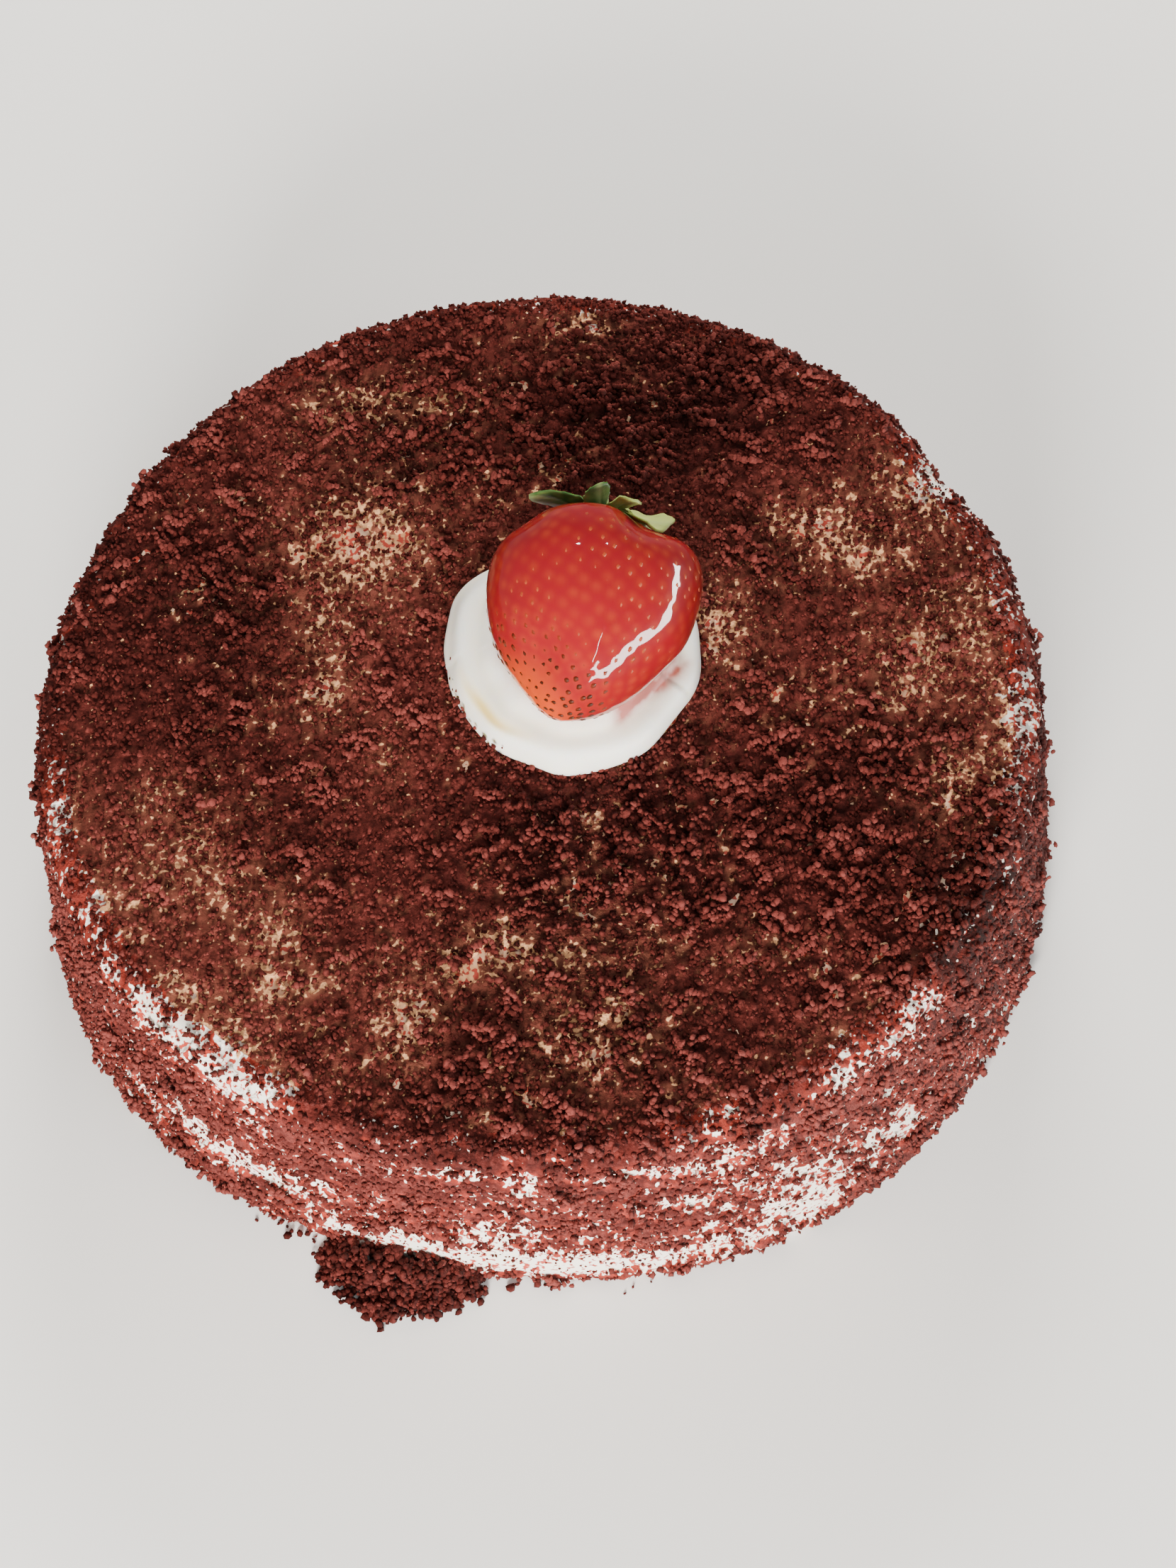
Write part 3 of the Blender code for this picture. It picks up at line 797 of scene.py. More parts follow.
def make_side_bed(cake, crumbs, material):
    """The bed of crumbs over the rim and down the side."""
    profile = side_profile(cake, 1.5 * MM, 1.12 * crumbs.bed_step)
    around = int(math.tau * cake.rim_radius / (1.12 * crumbs.bed_step))
    points, normals = turned_surface(profile, around)
    points = settle(cake, points)
    height, _, tone, thin = bed_height(cake, crumbs, points)
    points += normals * height[:, None]
    points[:, 2] = np.maximum(points[:, 2], 0.15 * MM)
    obj = mesh_object("crumb_bed_side", points, grid_faces(len(profile), around, True))
    mark_points(obj, "tone", tone)
    mark_points(obj, "thin", thin)
    finish_piece(obj, material, "crumb_coat", "cake")


def solid_form(kind):
    """Points and faces of a small primitive of radius 1, for the crumbs and the seeds."""
    bm = bmesh.new()
    if kind == "grit":
        bmesh.ops.create_uvsphere(bm, u_segments=4, v_segments=2, radius=1)
    else:
        bmesh.ops.create_icosphere(bm, subdivisions=1, radius=1)
    bm.verts.ensure_lookup_table()
    points = np.array([vert.co for vert in bm.verts])
    faces = np.array([[vert.index for vert in face.verts] for face in bm.faces])
    bm.free()
    return points, faces


def joined_copies(name, copies, faces, tones):
    """One mesh of many copies of a small solid: the points of each copy, its faces, and a tone for each."""
    count, corners = copies.shape[:2]
    all_faces = faces[None] + corners * np.arange(count)[:, None, None]
    obj = mesh_object(name, copies.reshape(-1, 3), all_faces.reshape(-1, 3))
    mark_points(obj, "tone", np.repeat(tones, corners))
    return obj


def random_turns(count, draw):
    """Rotation matrices spread over all turns."""
    turns = draw.normal(size=(4, count))
    w, x, y, z = turns / np.linalg.norm(turns, axis=0)
    rows = (
        (1 - 2 * (y * y + z * z), 2 * (x * y - z * w), 2 * (x * z + y * w)),
        (2 * (x * y + z * w), 1 - 2 * (x * x + z * z), 2 * (y * z - x * w)),
        (2 * (x * z - y * w), 2 * (y * z + x * w), 1 - 2 * (x * x + y * y)),
    )
    return np.array(rows).transpose(2, 0, 1)


def scatter(name, centres, sizes, tones, kind, salt):
    """One mesh of irregular crumbs, each a knocked-about and turned copy of a small solid."""
    corners, faces = solid_form(kind)
    draw = np.random.default_rng(salt)
    count = len(centres)
    stretch = draw.uniform(0.65, 1.3, (count, 1, 3))
    knock = draw.uniform(0.7, 1.2, (count, len(corners), 1))
    local = corners[None] * stretch * knock * sizes[:, None, None]
    points = np.einsum("nij,nkj->nki", random_turns(count, draw), local) + centres[:, None]
    points[:, :, 2] = np.maximum(points[:, :, 2], 0.1 * MM)
    return joined_copies(name, points, faces, tones)


def lay_on_top(cake, flat):
    """Points and normals of the level top at flat x, y places, and which of them lie on it."""
    points = np.column_stack([flat, np.full(len(flat), cake.height)])
    inside = np.hypot(*flat.T) < cake.rim_radius - 0.6 * cake.rim_rounding
    return settle(cake, points), np.tile((0.0, 0.0, 1.0), (len(flat), 1)), inside


def lay_on_side(cake, flat):
    """Points and normals of the side at flat places: the way round the rim, and the way down from it."""
    profile = side_profile(cake, 0.5 * MM, 0.4 * MM)
    down = distance_along(profile[:, :2])
    row = np.stack([np.interp(flat[:, 1], down, column) for column in profile.T], axis=1)
    cos, sin = np.cos(flat[:, 0] / cake.rim_radius), np.sin(flat[:, 0] / cake.rim_radius)
    points = np.stack([row[:, 0] * cos, row[:, 0] * sin, row[:, 1]], axis=1)
    normals = np.stack([row[:, 2] * cos, row[:, 2] * sin, row[:, 3]], axis=1)
    inside = (flat[:, 1] > 0) & (flat[:, 1] < down[-1])
    return settle(cake, points), normals, inside


def random_flat(cake, lay, count, draw):
    """Random flat places for a way of laying them: over the disc of the top, or the strip of the side."""
    if lay is lay_on_top:
        radius, angle = cake.rim_radius * np.sqrt(draw.random(count)), draw.random(count) * math.tau
        return np.stack([radius * np.cos(angle), radius * np.sin(angle)], axis=1)
    round_rim = draw.random(count) * math.tau * cake.rim_radius
    down = draw.random(count) * 1.1 * cake.height
    return np.stack([round_rim, down], axis=1)


def fine_crumbs(cake, crumbs, rosette, lay, want, draw):
    """Centres, sizes and tones of single crumbs, most of them where crumbs lie on the cream."""
    points, normals, inside = lay(cake, random_flat(cake, lay, 2 * want, draw))
    height, held, tone, _ = bed_height(cake, crumbs, points)
    clear = under_rosette(rosette, points, 0.5 * MM) < 0.5
    kept = inside & clear & (points[:, 2] > 0.8 * MM) & (draw.random(len(points)) < 0.4 + 0.6 * held)
    pick = np.flatnonzero(kept)[:want]
    size = (0.4 + 0.42 * draw.random(len(pick)) ** 1.6) * (0.65 + 0.35 * held[pick]) * MM
    lift = np.maximum(height[pick], -cake.cream_depth) + 0.3 * size
    tones = tone[pick] + 0.08 + 0.28 * (draw.random(len(pick)) - 0.4)
    return points[pick] + normals[pick] * lift[:, None], size, tones


def clumped_crumbs(cake, crumbs, rosette, lay, want, draw):
    """Centres, sizes and tones of crumbs that cling together in branching clumps."""
    branches, links = 3, 7
    seeds = random_flat(cake, lay, 9 * want, draw)
    points, _, inside = lay(cake, seeds)
    held = bed_height(cake, crumbs, points)[1]
    chance = held * (0.08 + coarseness(cake, points) ** 1.5)
    taken = np.flatnonzero(inside & (draw.random(len(seeds)) < chance))[:want]
    seeds = np.repeat(seeds[taken], branches, axis=0)
    first_heading = draw.uniform(0, math.tau, (len(seeds), 1))
    heading = first_heading + np.cumsum(draw.normal(0, 0.7, (len(seeds), links)), axis=1)
    stride = 0.72 * MM * draw.uniform(0.6, 1.2, (len(seeds), links))
    path = np.cumsum(np.stack([stride * np.cos(heading), stride * np.sin(heading)], axis=-1), axis=1)
    flat = (seeds[:, None] + path).reshape(-1, 2)
    points, normals, inside = lay(cake, flat)
    height, held, tone, _ = bed_height(cake, crumbs, points)
    size = (0.47 + 0.36 * draw.random(len(flat)) ** 1.5) * MM
    rise = np.tile(np.linspace(1.9, 0.1, links), len(seeds)) * MM * draw.uniform(0.15, 1.1, len(flat))
    clear = (under_rosette(rosette, points, -0.5 * MM) < 0.5) & (points[:, 2] > 1.2 * MM)
    kept = inside & clear & (held > 0.3)
    lift = (np.maximum(height, 0.2 * MM) + 0.2 * size + rise)[kept]
    shade = np.repeat(0.4 * (draw.random(len(seeds) // branches) - 0.45), branches * links)
    # Painted light: clumps are lighter than the bed, and lighter still higher up; the shade per clump differs
    # at random
    tones = (tone + 0.2 + 0.16 * rise / MM + shade + 0.14 * (draw.random(len(flat)) - 0.5))[kept]
    return points[kept] + normals[kept] * lift[:, None], size[kept], tones


def make_loose_crumbs(cake, crumbs, rosette, material):
    """Single crumbs and clumps of them, on top and on the side."""
    draw = np.random.default_rng(31)
    jobs = (
        ("fine_crumbs_top", fine_crumbs, lay_on_top, crumbs.fine_top, "grit"),
        ("fine_crumbs_side", fine_crumbs, lay_on_side, crumbs.fine_side, "grit"),
        ("clumped_crumbs_top", clumped_crumbs, lay_on_top, crumbs.clumps_top, "ball"),
        ("clumped_crumbs_side", clumped_crumbs, lay_on_side, crumbs.clumps_side, "ball"),
    )
    for salt, (name, kind, lay, count, form) in enumerate(jobs):
        lumps = kind(cake, crumbs, rosette, lay, count, draw)
        finish_piece(scatter(name, *lumps, form, 50 + salt), material, "crumb_coat", "cake")


def make_stuck_crumbs(cake, rosette, material):
    """The few crumbs that stick to the rosette's edge."""
    draw = np.random.default_rng(83)
    count = 420
    angle = draw.uniform(0, math.tau, count)
    lean = np.where(np.cos(angle - math.radians(165)) > 0.3, 1.0, 0.35)
    height = (0.4 + 3.6 * lean * draw.random(count) ** 2) * MM
    radius = rosette.radius - 0.4 * MM - 0.2 * height + 0.5 * MM * draw.normal(size=count)
    centres = np.stack([radius * np.cos(angle), radius * np.sin(angle), height + cake.height], axis=1)
    centres += np.array(rosette.centre)
    sizes = (0.32 + 0.42 * draw.random(count) ** 2) * MM
    obj = scatter("crumbs_on_rosette", centres, sizes, 0.4 + 0.5 * draw.random(count), "ball", 70)
    finish_piece(obj, material, "crumb_coat", "cake")


def make_drift(cake, crumbs, material):
    """The crumbs that fell in a heap against the foot, in ragged lumps, and a few strays beside it."""
    draw = np.random.default_rng(77)
    first, last = DRIFT_ANGLES
    in_each, strays = 12, crumbs.fallen // 30
    lumps = crumbs.fallen // in_each
    share, out = draw.random(lumps), draw.random(lumps) ** 0.8
    ragged = 0.16 * soft_noise(np.stack([share * 7, share * 0, share * 0], axis=1), 1, 6)
    along = np.sin(math.pi * (0.06 + 0.88 * share)) ** 0.5 * (0.9 + ragged)
    bumps = soft_noise(np.stack([share * 9, out * 3, out * 0], axis=1), 1, 5)
    crest = along * (1 - out**1.5) * (0.75 + 0.35 * bumps)
    shade = np.repeat(draw.random(lumps) ** 1.5, in_each)
    spread = draw.normal(0, 0.9 * MM, (3, lumps * in_each))
    size = (0.45 + 0.6 * draw.random(lumps * in_each) ** 2) * MM
    height = np.maximum(0.7 * size, np.repeat(8 * MM * crest, in_each) + spread[0])
    angle = np.repeat(first + (last - first) * share, in_each) + spread[1] / cake.foot_radius
    reach = np.repeat(11.5 * MM * along * out - 0.6 * MM, in_each) + spread[2]
    angle = np.concatenate([angle, STRAYS_ANGLE + draw.normal(0, 0.3, strays)])
    reach = np.concatenate([reach, np.minimum(draw.exponential(0.7 * MM, strays), 3 * MM)])
    stray_size = (0.35 + 0.6 * draw.random(strays) ** 3) * MM
    size, height = np.concatenate([size, stray_size]), np.concatenate([height, 0.6 * stray_size])
    radius = cake.foot_radius + outline_shift(cake, angle, 0.0) + reach
    centres = np.stack([radius * np.cos(angle), radius * np.sin(angle), height], axis=1)
    tones = 0.5 * np.concatenate([shade, draw.random(strays)]) + 0.12 + 0.3 * draw.random(len(angle)) ** 2
    obj = scatter("crumb_drift_heap", centres, size, tones, "ball", 60)
    finish_piece(obj, material, "crumb_coat", "cake")


# ---------------------------------------------------------------- berry shape


def berry_frame(berry):
    """The matrix that lays the berry on the cream."""
    forward = Vector(berry.points_to).normalized()
    across = Vector((0, 0, 1)).cross(forward).normalized()
    up = forward.cross(across)
    turn = Matrix((across, up, forward)).transposed().to_4x4()
    return Matrix.Translation(berry.centre) @ turn


def berry_radius(share):
    """Half width of the berry at a share of its length, as a share of the widest."""
    widest = 0.36
    up = np.clip((widest - share) / widest, 0, 1)
    down = np.clip((share - widest) / (1 - widest), 0, 1)
    return np.where(share < widest, np.sqrt(1 - up**2.3), (1 - down**1.75) ** 0.62)


def berry_points(berry, directions, growth=0.0):
    """The berry's surface in the directions of unit vectors, in the berry's own frame."""
    share = (1 + directions[:, 2]) / 2
    around = np.arctan2(directions[:, 1], directions[:, 0])
    radius = berry_radius(share)
    lumps = 1 + 0.025 * np.cos(3 * around + 1.0) + 0.015 * np.cos(2 * around - 0.4)
    x = (berry.width / 2 * radius * lumps + growth * radius) * np.cos(around)
    y = (berry.thickness / 2 * radius * lumps + growth * radius) * np.sin(around)
    neck = 2.4 * MM * np.exp(-((np.hypot(x, y) / (6 * MM)) ** 2)) * (share < 0.5)
    z = berry.length * (share - 0.5) + neck + growth * directions[:, 2]
    x = x - berry.bend * share**2
    shift = np.zeros((len(x), 2))
    for dent_x, dent_z, depth, spread in BERRY_DENTS:
        off = np.hypot(x - dent_x * MM, z - dent_z * MM) / (spread * MM)
        toward = np.array([dent_x, dent_z]) / math.hypot(dent_x, dent_z)
        shift -= depth * MM * np.exp(-(off**2))[:, None] * toward
    return np.stack([x + shift[:, 0], y, z + shift[:, 1]], axis=1)


def spiral_directions(count):
    """Unit vectors spread evenly over a sphere along a golden spiral."""
    k = np.arange(count)
    z = 1 - 2 * (k + 0.5) / count
    ring = np.sqrt(1 - z * z)
    return np.stack([ring * np.cos(k * GOLDEN_TURN), ring * np.sin(k * GOLDEN_TURN), z], axis=1)


def in_world(berry, points):
    """Points of the berry's own frame in the cake's frame."""
    place = np.array(berry_frame(berry))
    return points @ place[:3, :3].T + place[:3, 3]


def berry_skin(name, berry, rows, columns, growth=0.0, relief=None):
    """A closed skin over the berry, in the cake's frame. Relief gives the height to add at each point."""
    polar = np.linspace(0.0, math.pi, rows)[1:-1]
    around = np.linspace(0, math.tau, columns, endpoint=False)
    turn, swing = (plane.ravel() for plane in np.meshgrid(polar, around, indexing="ij"))
    directions = np.vstack([ways(turn, swing), (0, 0, -1), (0, 0, 1)])
    points = berry_points(berry, directions, growth)
    if relief is not None:
        points = points + directions * relief(points)[:, None]
    faces = grid_faces(rows - 2, columns, True)[:, ::-1].tolist()
    calyx_end, tip_end = len(points) - 2, len(points) - 1
    last = (rows - 3) * columns
    for k in range(columns):
        beside = (k + 1) % columns
        faces.append((calyx_end, beside, k))
        faces.append((tip_end, last + k, last + beside))
    return mesh_object(name, in_world(berry, points), faces), directions


def run_height(points, run, width):
    """1 along a run through these places in mm, falling away to both sides."""
    corners = np.array(run) * MM
    dense = np.vstack([a + (b - a) * t for a, b in zip(corners, corners[1:]) for t in np.linspace(0, 1, 12)])
    off = np.min(np.linalg.norm(points[:, None] - dense[None], axis=2), axis=1)
    return np.exp(-((off / width) ** 2))


def berry_material(berry):
    """Ripe flesh under a clear wet glaze: red, orange at the tip, partly a painted glow of light through the
    flesh, with light flecks round the seeds.
    """
    material, tree, shader = new_material(
        "glazed_flesh",
        Roughness=0.28,
        Specular_IOR_Level=0.03,
        Subsurface_Weight=0.25,
        Subsurface_Radius=(1.0, 0.2, 0.1),
        Subsurface_Scale=2.5 * MM,
        Coat_Weight=1.0,
        Coat_Roughness=0.03,
        Coat_IOR=1.45,
    )
    mottle = math_node(tree, "ADD", noise_at(tree, 120), 0.5)
    tip = math_node(tree, "MULTIPLY", attribute(tree, "tip"), mottle)
    body = mixed(tree, tip, tuple(berry.red), tuple(berry.orange))
    uneven = math_node(tree, "SUBTRACT", noise_at(tree, 210, 1.0), 0.15)
    halo = math_node(tree, "MULTIPLY", attribute(tree, "halo"), uneven)
    flecked = mixed(tree, halo, body, (0.36, 0.045, 0.012))
    tree.links.new(flecked, shader.inputs["Base Color"])
    bump(tree, shader, noise_at(tree, 190, 1.0), 0.6 * MM, 0.14, "Coat Normal")
    return material


def seed_directions(berry):
    """Ways from the berry's middle to its seeds: even rows, a little disturbed."""
    draw = np.random.default_rng(5)
    directions = spiral_directions(berry.seed_count) + draw.normal(0, 0.016, (berry.seed_count, 3))
    return directions / np.linalg.norm(directions, axis=1)[:, None]


def make_berry(berry):
    """The berry with a shallow dimple at each seed and a raised drip of glaze."""
    seeds = seed_directions(berry)
    tree = KDTree(len(seeds))
    for index, seed in enumerate(berry_points(berry, seeds)):
        tree.insert(seed, index)
    tree.balance()
    nearest = []

    def relief(points):
        """Dimples at the seeds, a drip of glaze and slow waves."""
        nearest.extend(tree.find(point)[2] for point in points)
        near = np.array(nearest)
        dimple = -0.045 * MM * np.exp(-((near / (0.9 * MM)) ** 2))
        drip = 0.2 * MM * run_height(points, GLAZE_DRIP, 1.1 * MM)
        return dimple + drip + 0.18 * MM * soft_noise(points, 8 * MM, 12)

    obj, directions = berry_skin("glazed_berry", berry, rows=142, columns=186, relief=relief)
    mark_points(obj, "halo", np.exp(-((np.array(nearest) / (1.05 * MM)) ** 2)))
    # Orange at the tip, partly a painted glow of light shining through it
    mark_points(obj, "tip", smooth_step(0.74, 1.28, directions[:, 2] - 0.5 * directions[:, 0]))
    finish_piece(obj, berry_material(berry), "berry_red", "strawberry")


def seed_material():
    """Small dry seeds: reddish on the shoulder, dark brown towards the tip."""
    material, tree, shader = new_material(
        "berry_seed", Roughness=0.5, Specular_IOR_Level=0.2, Coat_Weight=0.25, Coat_Roughness=0.05
    )
    stops = ((0.0, (0.3, 0.045, 0.014)), (0.5, (0.22, 0.026, 0.009)), (1.0, (0.05, 0.012, 0.005)))
    uneven = math_node(tree, "SUBTRACT", noise_at(tree, 350), 0.5)
    tone = math_node(tree, "ADD", attribute(tree, "tone"), uneven)
    tree.links.new(ramp(tree, tone, stops), shader.inputs["Base Color"])
    return material


def make_seeds(berry):
    """The seeds, each a small drop that lies in its dimple and points to the tip."""
    directions = seed_directions(berry)
    directions = directions[np.abs(directions[:, 2]) < 0.985]
    lower = smooth_step(-0.1, 0.9, directions[:, 2] - 0.35 * directions[:, 0])
    surface = in_world(berry, berry_points(berry, directions, -0.2 * MM))
    outer = in_world(berry, berry_points(berry, directions, 0.8 * MM))
    ahead = directions + np.array([0, 0, 0.02])
    ahead /= np.linalg.norm(ahead, axis=1)[:, None]
    onward = in_world(berry, berry_points(berry, ahead, -0.2 * MM))
    normal = (outer - surface) / np.linalg.norm(outer - surface, axis=1)[:, None]
    centres = surface - normal * (0.12 * MM * (1 - lower))[:, None]
    along = onward - surface
    along -= normal * (along * normal).sum(axis=1)[:, None]
    along /= np.linalg.norm(along, axis=1)[:, None]
    across = np.cross(normal, along)
    drop, faces = solid_form("ball")
    drop[:, 0] *= 1 - 0.35 * drop[:, 1]
    local = drop * np.array([0.58, 0.86, 0.28]) * MM
    axes = np.stack([across, along, normal], axis=1)
    points = np.einsum("kj,njd->nkd", local, axes) + centres[:, None]
    obj = joined_copies("berry_seeds", points, faces, lower)
    finish_piece(obj, seed_material(), "berry_red", "strawberry")


# ---------------------------------------------------------------- rosette


def rosette_material(rosette):
    """Smooth whipped cream that light sinks into, with painted shade, yellower, in the rope's grooves and the
    crease, and a painted red shadow and reflection of the berry.
    """
    material, tree, shader = new_material(
        "piped_cream",
        Roughness=0.42,
        Subsurface_Weight=0.5,
        Subsurface_Radius=(1.0, 0.75, 0.5),
        Subsurface_Scale=3 * MM,
    )
    # Painted shade in the rope's grooves and the crease
    groove_shade = math_node(tree, "MULTIPLY", attribute(tree, "groove_shade"), 0.8)
    body = mixed(tree, groove_shade, tuple(rosette.cream), (0.8, 0.62, 0.22))
    uneven = math_node(tree, "ADD", math_node(tree, "MULTIPLY", noise_at(tree, 330, 2.0), 0.9), 0.4)
    # Painted shadow and red reflection of the berry, in streaks
    berry_shade_streaks = math_node(tree, "MULTIPLY", attribute(tree, "berry_shade"), uneven)
    tree.links.new(mixed(tree, berry_shade_streaks, body, (0.34, 0.06, 0.04)), shader.inputs["Base Color"])
    bump(tree, shader, noise_at(tree, 420, 1.0), 0.25 * MM, 0.3)
    return material


def rounded(corners, times):
    """A chain of points with its corners cut this many times."""
    for _ in range(times):
        near, far = 0.75 * corners[:-1] + 0.25 * corners[1:], 0.25 * corners[:-1] + 0.75 * corners[1:]
        middle = np.stack([near, far], axis=1).reshape(-1, corners.shape[1])
        corners = np.vstack([corners[:1], middle, corners[-1:]])
    return corners


def rosette_profile(rows):
    """The rosette's half section in even steps, as shares of its radius and its height."""
    crown = [(0.0, 1.0), (0.16, 1.0), (0.32, 0.97), (0.48, 0.9), (0.62, 0.8), (0.74, 0.69)]
    skirt = [(0.85, 0.56), (0.94, 0.4), (1.0, 0.22), (0.99, 0.08), (0.94, 0.0)]
    smooth = rounded(np.array(crown + skirt), 3)
    run = distance_along(smooth)
    evenly = np.linspace(0.01, run[-1], rows)
    return np.stack([np.interp(evenly, run, column) for column in smooth.T], axis=1)


def press_into(obj, cutter):
    """Cuts the shape of one object out of another, and takes the first away."""
    press = obj.modifiers.new("press", "BOOLEAN")
    press.operation = "DIFFERENCE"
    press.object = cutter
    press.solver = "MANIFOLD"
    bake_modifiers(obj)
    bpy.data.objects.remove(cutter)


def make_rosette(cake, rosette, berry):
    """The piped cream: one soft turn of rope with shallow ridges, pressed in and pushed up by the berry."""
    profile = rosette_profile(rows=72)
    around = 220
    turn = np.linspace(-math.pi, math.pi, around, endpoint=False)
    share, angle = (plane.ravel() for plane in np.meshgrid(profile[:, 0], turn, indexing="ij"))
    radius, z = share * rosette.radius, np.repeat(profile[:, 1], around) * rosette.height
    above = smooth_step(0.0, 3 * MM, z)
    swirl = math.tau * radius / ROPE_PITCH - angle
    ridge = rosette.ridge * np.cos(swirl) * above
    past_end = ((angle - ROPE_END_ANGLE) % math.tau) / math.tau
    climb = 0.9 * MM * (past_end - 0.5) * above * smooth_step(0, 0.06, past_end)
    shift = 0.25 * MM * np.cos(9 * angle + 3 * share) + 0.5 * ridge
    for middle, spread, how_far in EDGE_SHIFTS:
        shift += how_far * MM * np.exp(-(((angle - middle) / spread) ** 2))
    reach = radius + share * shift
    points = np.stack([reach * np.cos(angle), reach * np.sin(angle), z + ridge + climb], axis=1)
    points[:, :2] += 0.55 * MM * (soft_noise(points, 7 * MM, 21) * share)[:, None]
    at_share, share_spread, at_angle, angle_spread = CREASE
    crease = np.exp(-(((share - at_share) / share_spread) ** 2) - ((angle - at_angle) / angle_spread) ** 2)
    points[:, 2] = np.maximum(points[:, 2] - 0.8 * MM * crease, 0) + cake.height - 0.5 * MM
    points += np.array(rosette.centre)
    cutter, _ = berry_skin("berry_press", berry, rows=60, columns=80, growth=0.05 * MM)
    skin = KDTree(len(cutter.data.vertices))
    for vert in cutter.data.vertices:
        skin.insert(vert.co, vert.index)
    skin.balance()
    off = np.array([skin.find(point)[2] for point in points])
    points[:, 2] += 1.3 * MM * np.exp(-(((off - 0.8 * MM) / (1.8 * MM)) ** 2)) * above
    obj = mesh_object("piped_rosette", points, capped_faces(len(profile), around))
    # Painted shade: a little in the rope's grooves, more along the crease
    mark_points(obj, "groove_shade", 0.1 - 0.1 * np.cos(swirl) * above + 1.3 * crease)
    places = np.stack([reach * np.cos(angle), reach * np.sin(angle)], axis=1)
    # Painted shadow and red reflection of the berry: a band close beside it, and streaks along the run
    beside = np.exp(-((off / (2.6 * MM)) ** 2))
    drawn_out = np.stack([places @ (0.15, 0.13), places @ (-0.65, 0.76), z * 0], axis=1)
    streaks = soft_noise(drawn_out, 1.3 * MM, 35)
    mark_points(obj, "berry_shade", (1.1 + 0.45 * streaks) * run_height(places, BERRY_SHADOW_RUN, 2.7 * MM) + 0.6 * beside)
    press_into(obj, cutter)
    obj.data.shade_smooth()
    obj.data.set_sharp_from_angle(angle=math.radians(50))
    finish_piece(obj, rosette_material(rosette), "whipped_cream", "cream_rosette")


# ---------------------------------------------------------------- calyx


def leaf_material(leaves):
    """Thin leaf, dark and fresh or faded to yellow green, with fine veins."""
    material, tree, shader = new_material(
        "berry_leaf",
        Roughness=0.5,
        Subsurface_Weight=0.2,
        Subsurface_Radius=(0.4, 1.0, 0.2),
        Subsurface_Scale=1 * MM,
    )
    uneven = math_node(tree, "SUBTRACT", noise_at(tree, 400), 0.5)
    pale = math_node(tree, "ADD", attribute(tree, "pale"), uneven)
    body = mixed(tree, pale, tuple(leaves.green), tuple(leaves.pale))
    vein = math_node(tree, "MULTIPLY", attribute(tree, "vein"), 0.6)
    tree.links.new(mixed(tree, vein, body, (0.3, 0.36, 0.14)), shader.inputs["Base Color"])
    bump(tree, shader, noise_at(tree, 900, 2.0), 0.2 * MM, 0.6)
    return material


def shoulder_line(berry, distance, around, lift):
    """A point this far along the berry's shoulder from its neck, lifted off the skin."""
    polar = np.arange(0, 1.6, 0.01)
    line = berry_points(berry, ways(polar, around))
    walked = distance_along(line)
    here = np.array([np.interp(distance, walked, line[:, axis]) for axis in range(3)])
    ahead = np.array([np.interp(distance + 0.3 * MM, walked, line[:, axis]) for axis in range(3)])
    run = (ahead - here) / np.linalg.norm(ahead - here)
    out = np.array([math.cos(around), math.sin(around), 0])
    normal = out * run[2] - np.array([0, 0, run @ out])
    return here + normal * lift


def make_calyx(leaves, berry):
    """The star of pointed, toothed sepals that curl off the berry's shoulder, with a stump of stalk."""
    rings, sector = 16, 20
    angles = [angle for angle, *_ in SEPALS] + [SEPALS[0][0] + 360]
    points, pale, vein = [], [], []
    for i, j in itertools.product(range(rings + 1), range(len(SEPALS) * sector)):
        place = j / sector
        nearest = round(place)
        aside = 2 * (place - nearest)
        off_middle = abs(aside)
        _, length, curl, tilt, fullness, fade = SEPALS[nearest % len(SEPALS)]
        tooth = 0.45 * MM * math.sin(30 * off_middle) * off_middle
        reach = leaves.hub + (length * MM - leaves.hub) * (1 - off_middle**fullness) + tooth
        distance = max(0.3 * MM, reach * i / rings)
        out = distance / (length * MM)
        rib = math.exp(-((off_middle / 0.12) ** 2))
        cup = 0.8 * off_middle**2 * math.sin(math.pi * min(1.0, out))
        ripple = (0.15 + 0.4 * fade) * math.sin(distance / (0.9 * MM) + 2 * nearest) * off_middle
        shaped = cup + ripple + 0.15 * rib + max(0.0, curl * out**2.6 + tilt * aside * out**1.5)
        around = math.radians(np.interp(place, range(len(angles)), angles))
        points.append(shoulder_line(berry, distance, around, leaves.lift + shaped * MM))
        pale.append(fade)
        vein.append(rib)
    points = in_world(berry, np.array(points))
    faces = grid_faces(rings + 1, len(SEPALS) * sector, True)
    obj = mesh_object("leafy_calyx", points, faces[:, ::-1])
    mark_points(obj, "pale", np.array(pale))
    mark_points(obj, "vein", np.array(vein))
    thick = obj.modifiers.new("thickness", "SOLIDIFY")
    thick.thickness = leaves.thickness
    thick.offset = 0.0
    bake_modifiers(obj)
    obj.data.shade_smooth()
    material = leaf_material(leaves)
    make_stalk(berry, material)
    finish_piece(obj, material, "leaf_green", "calyx")


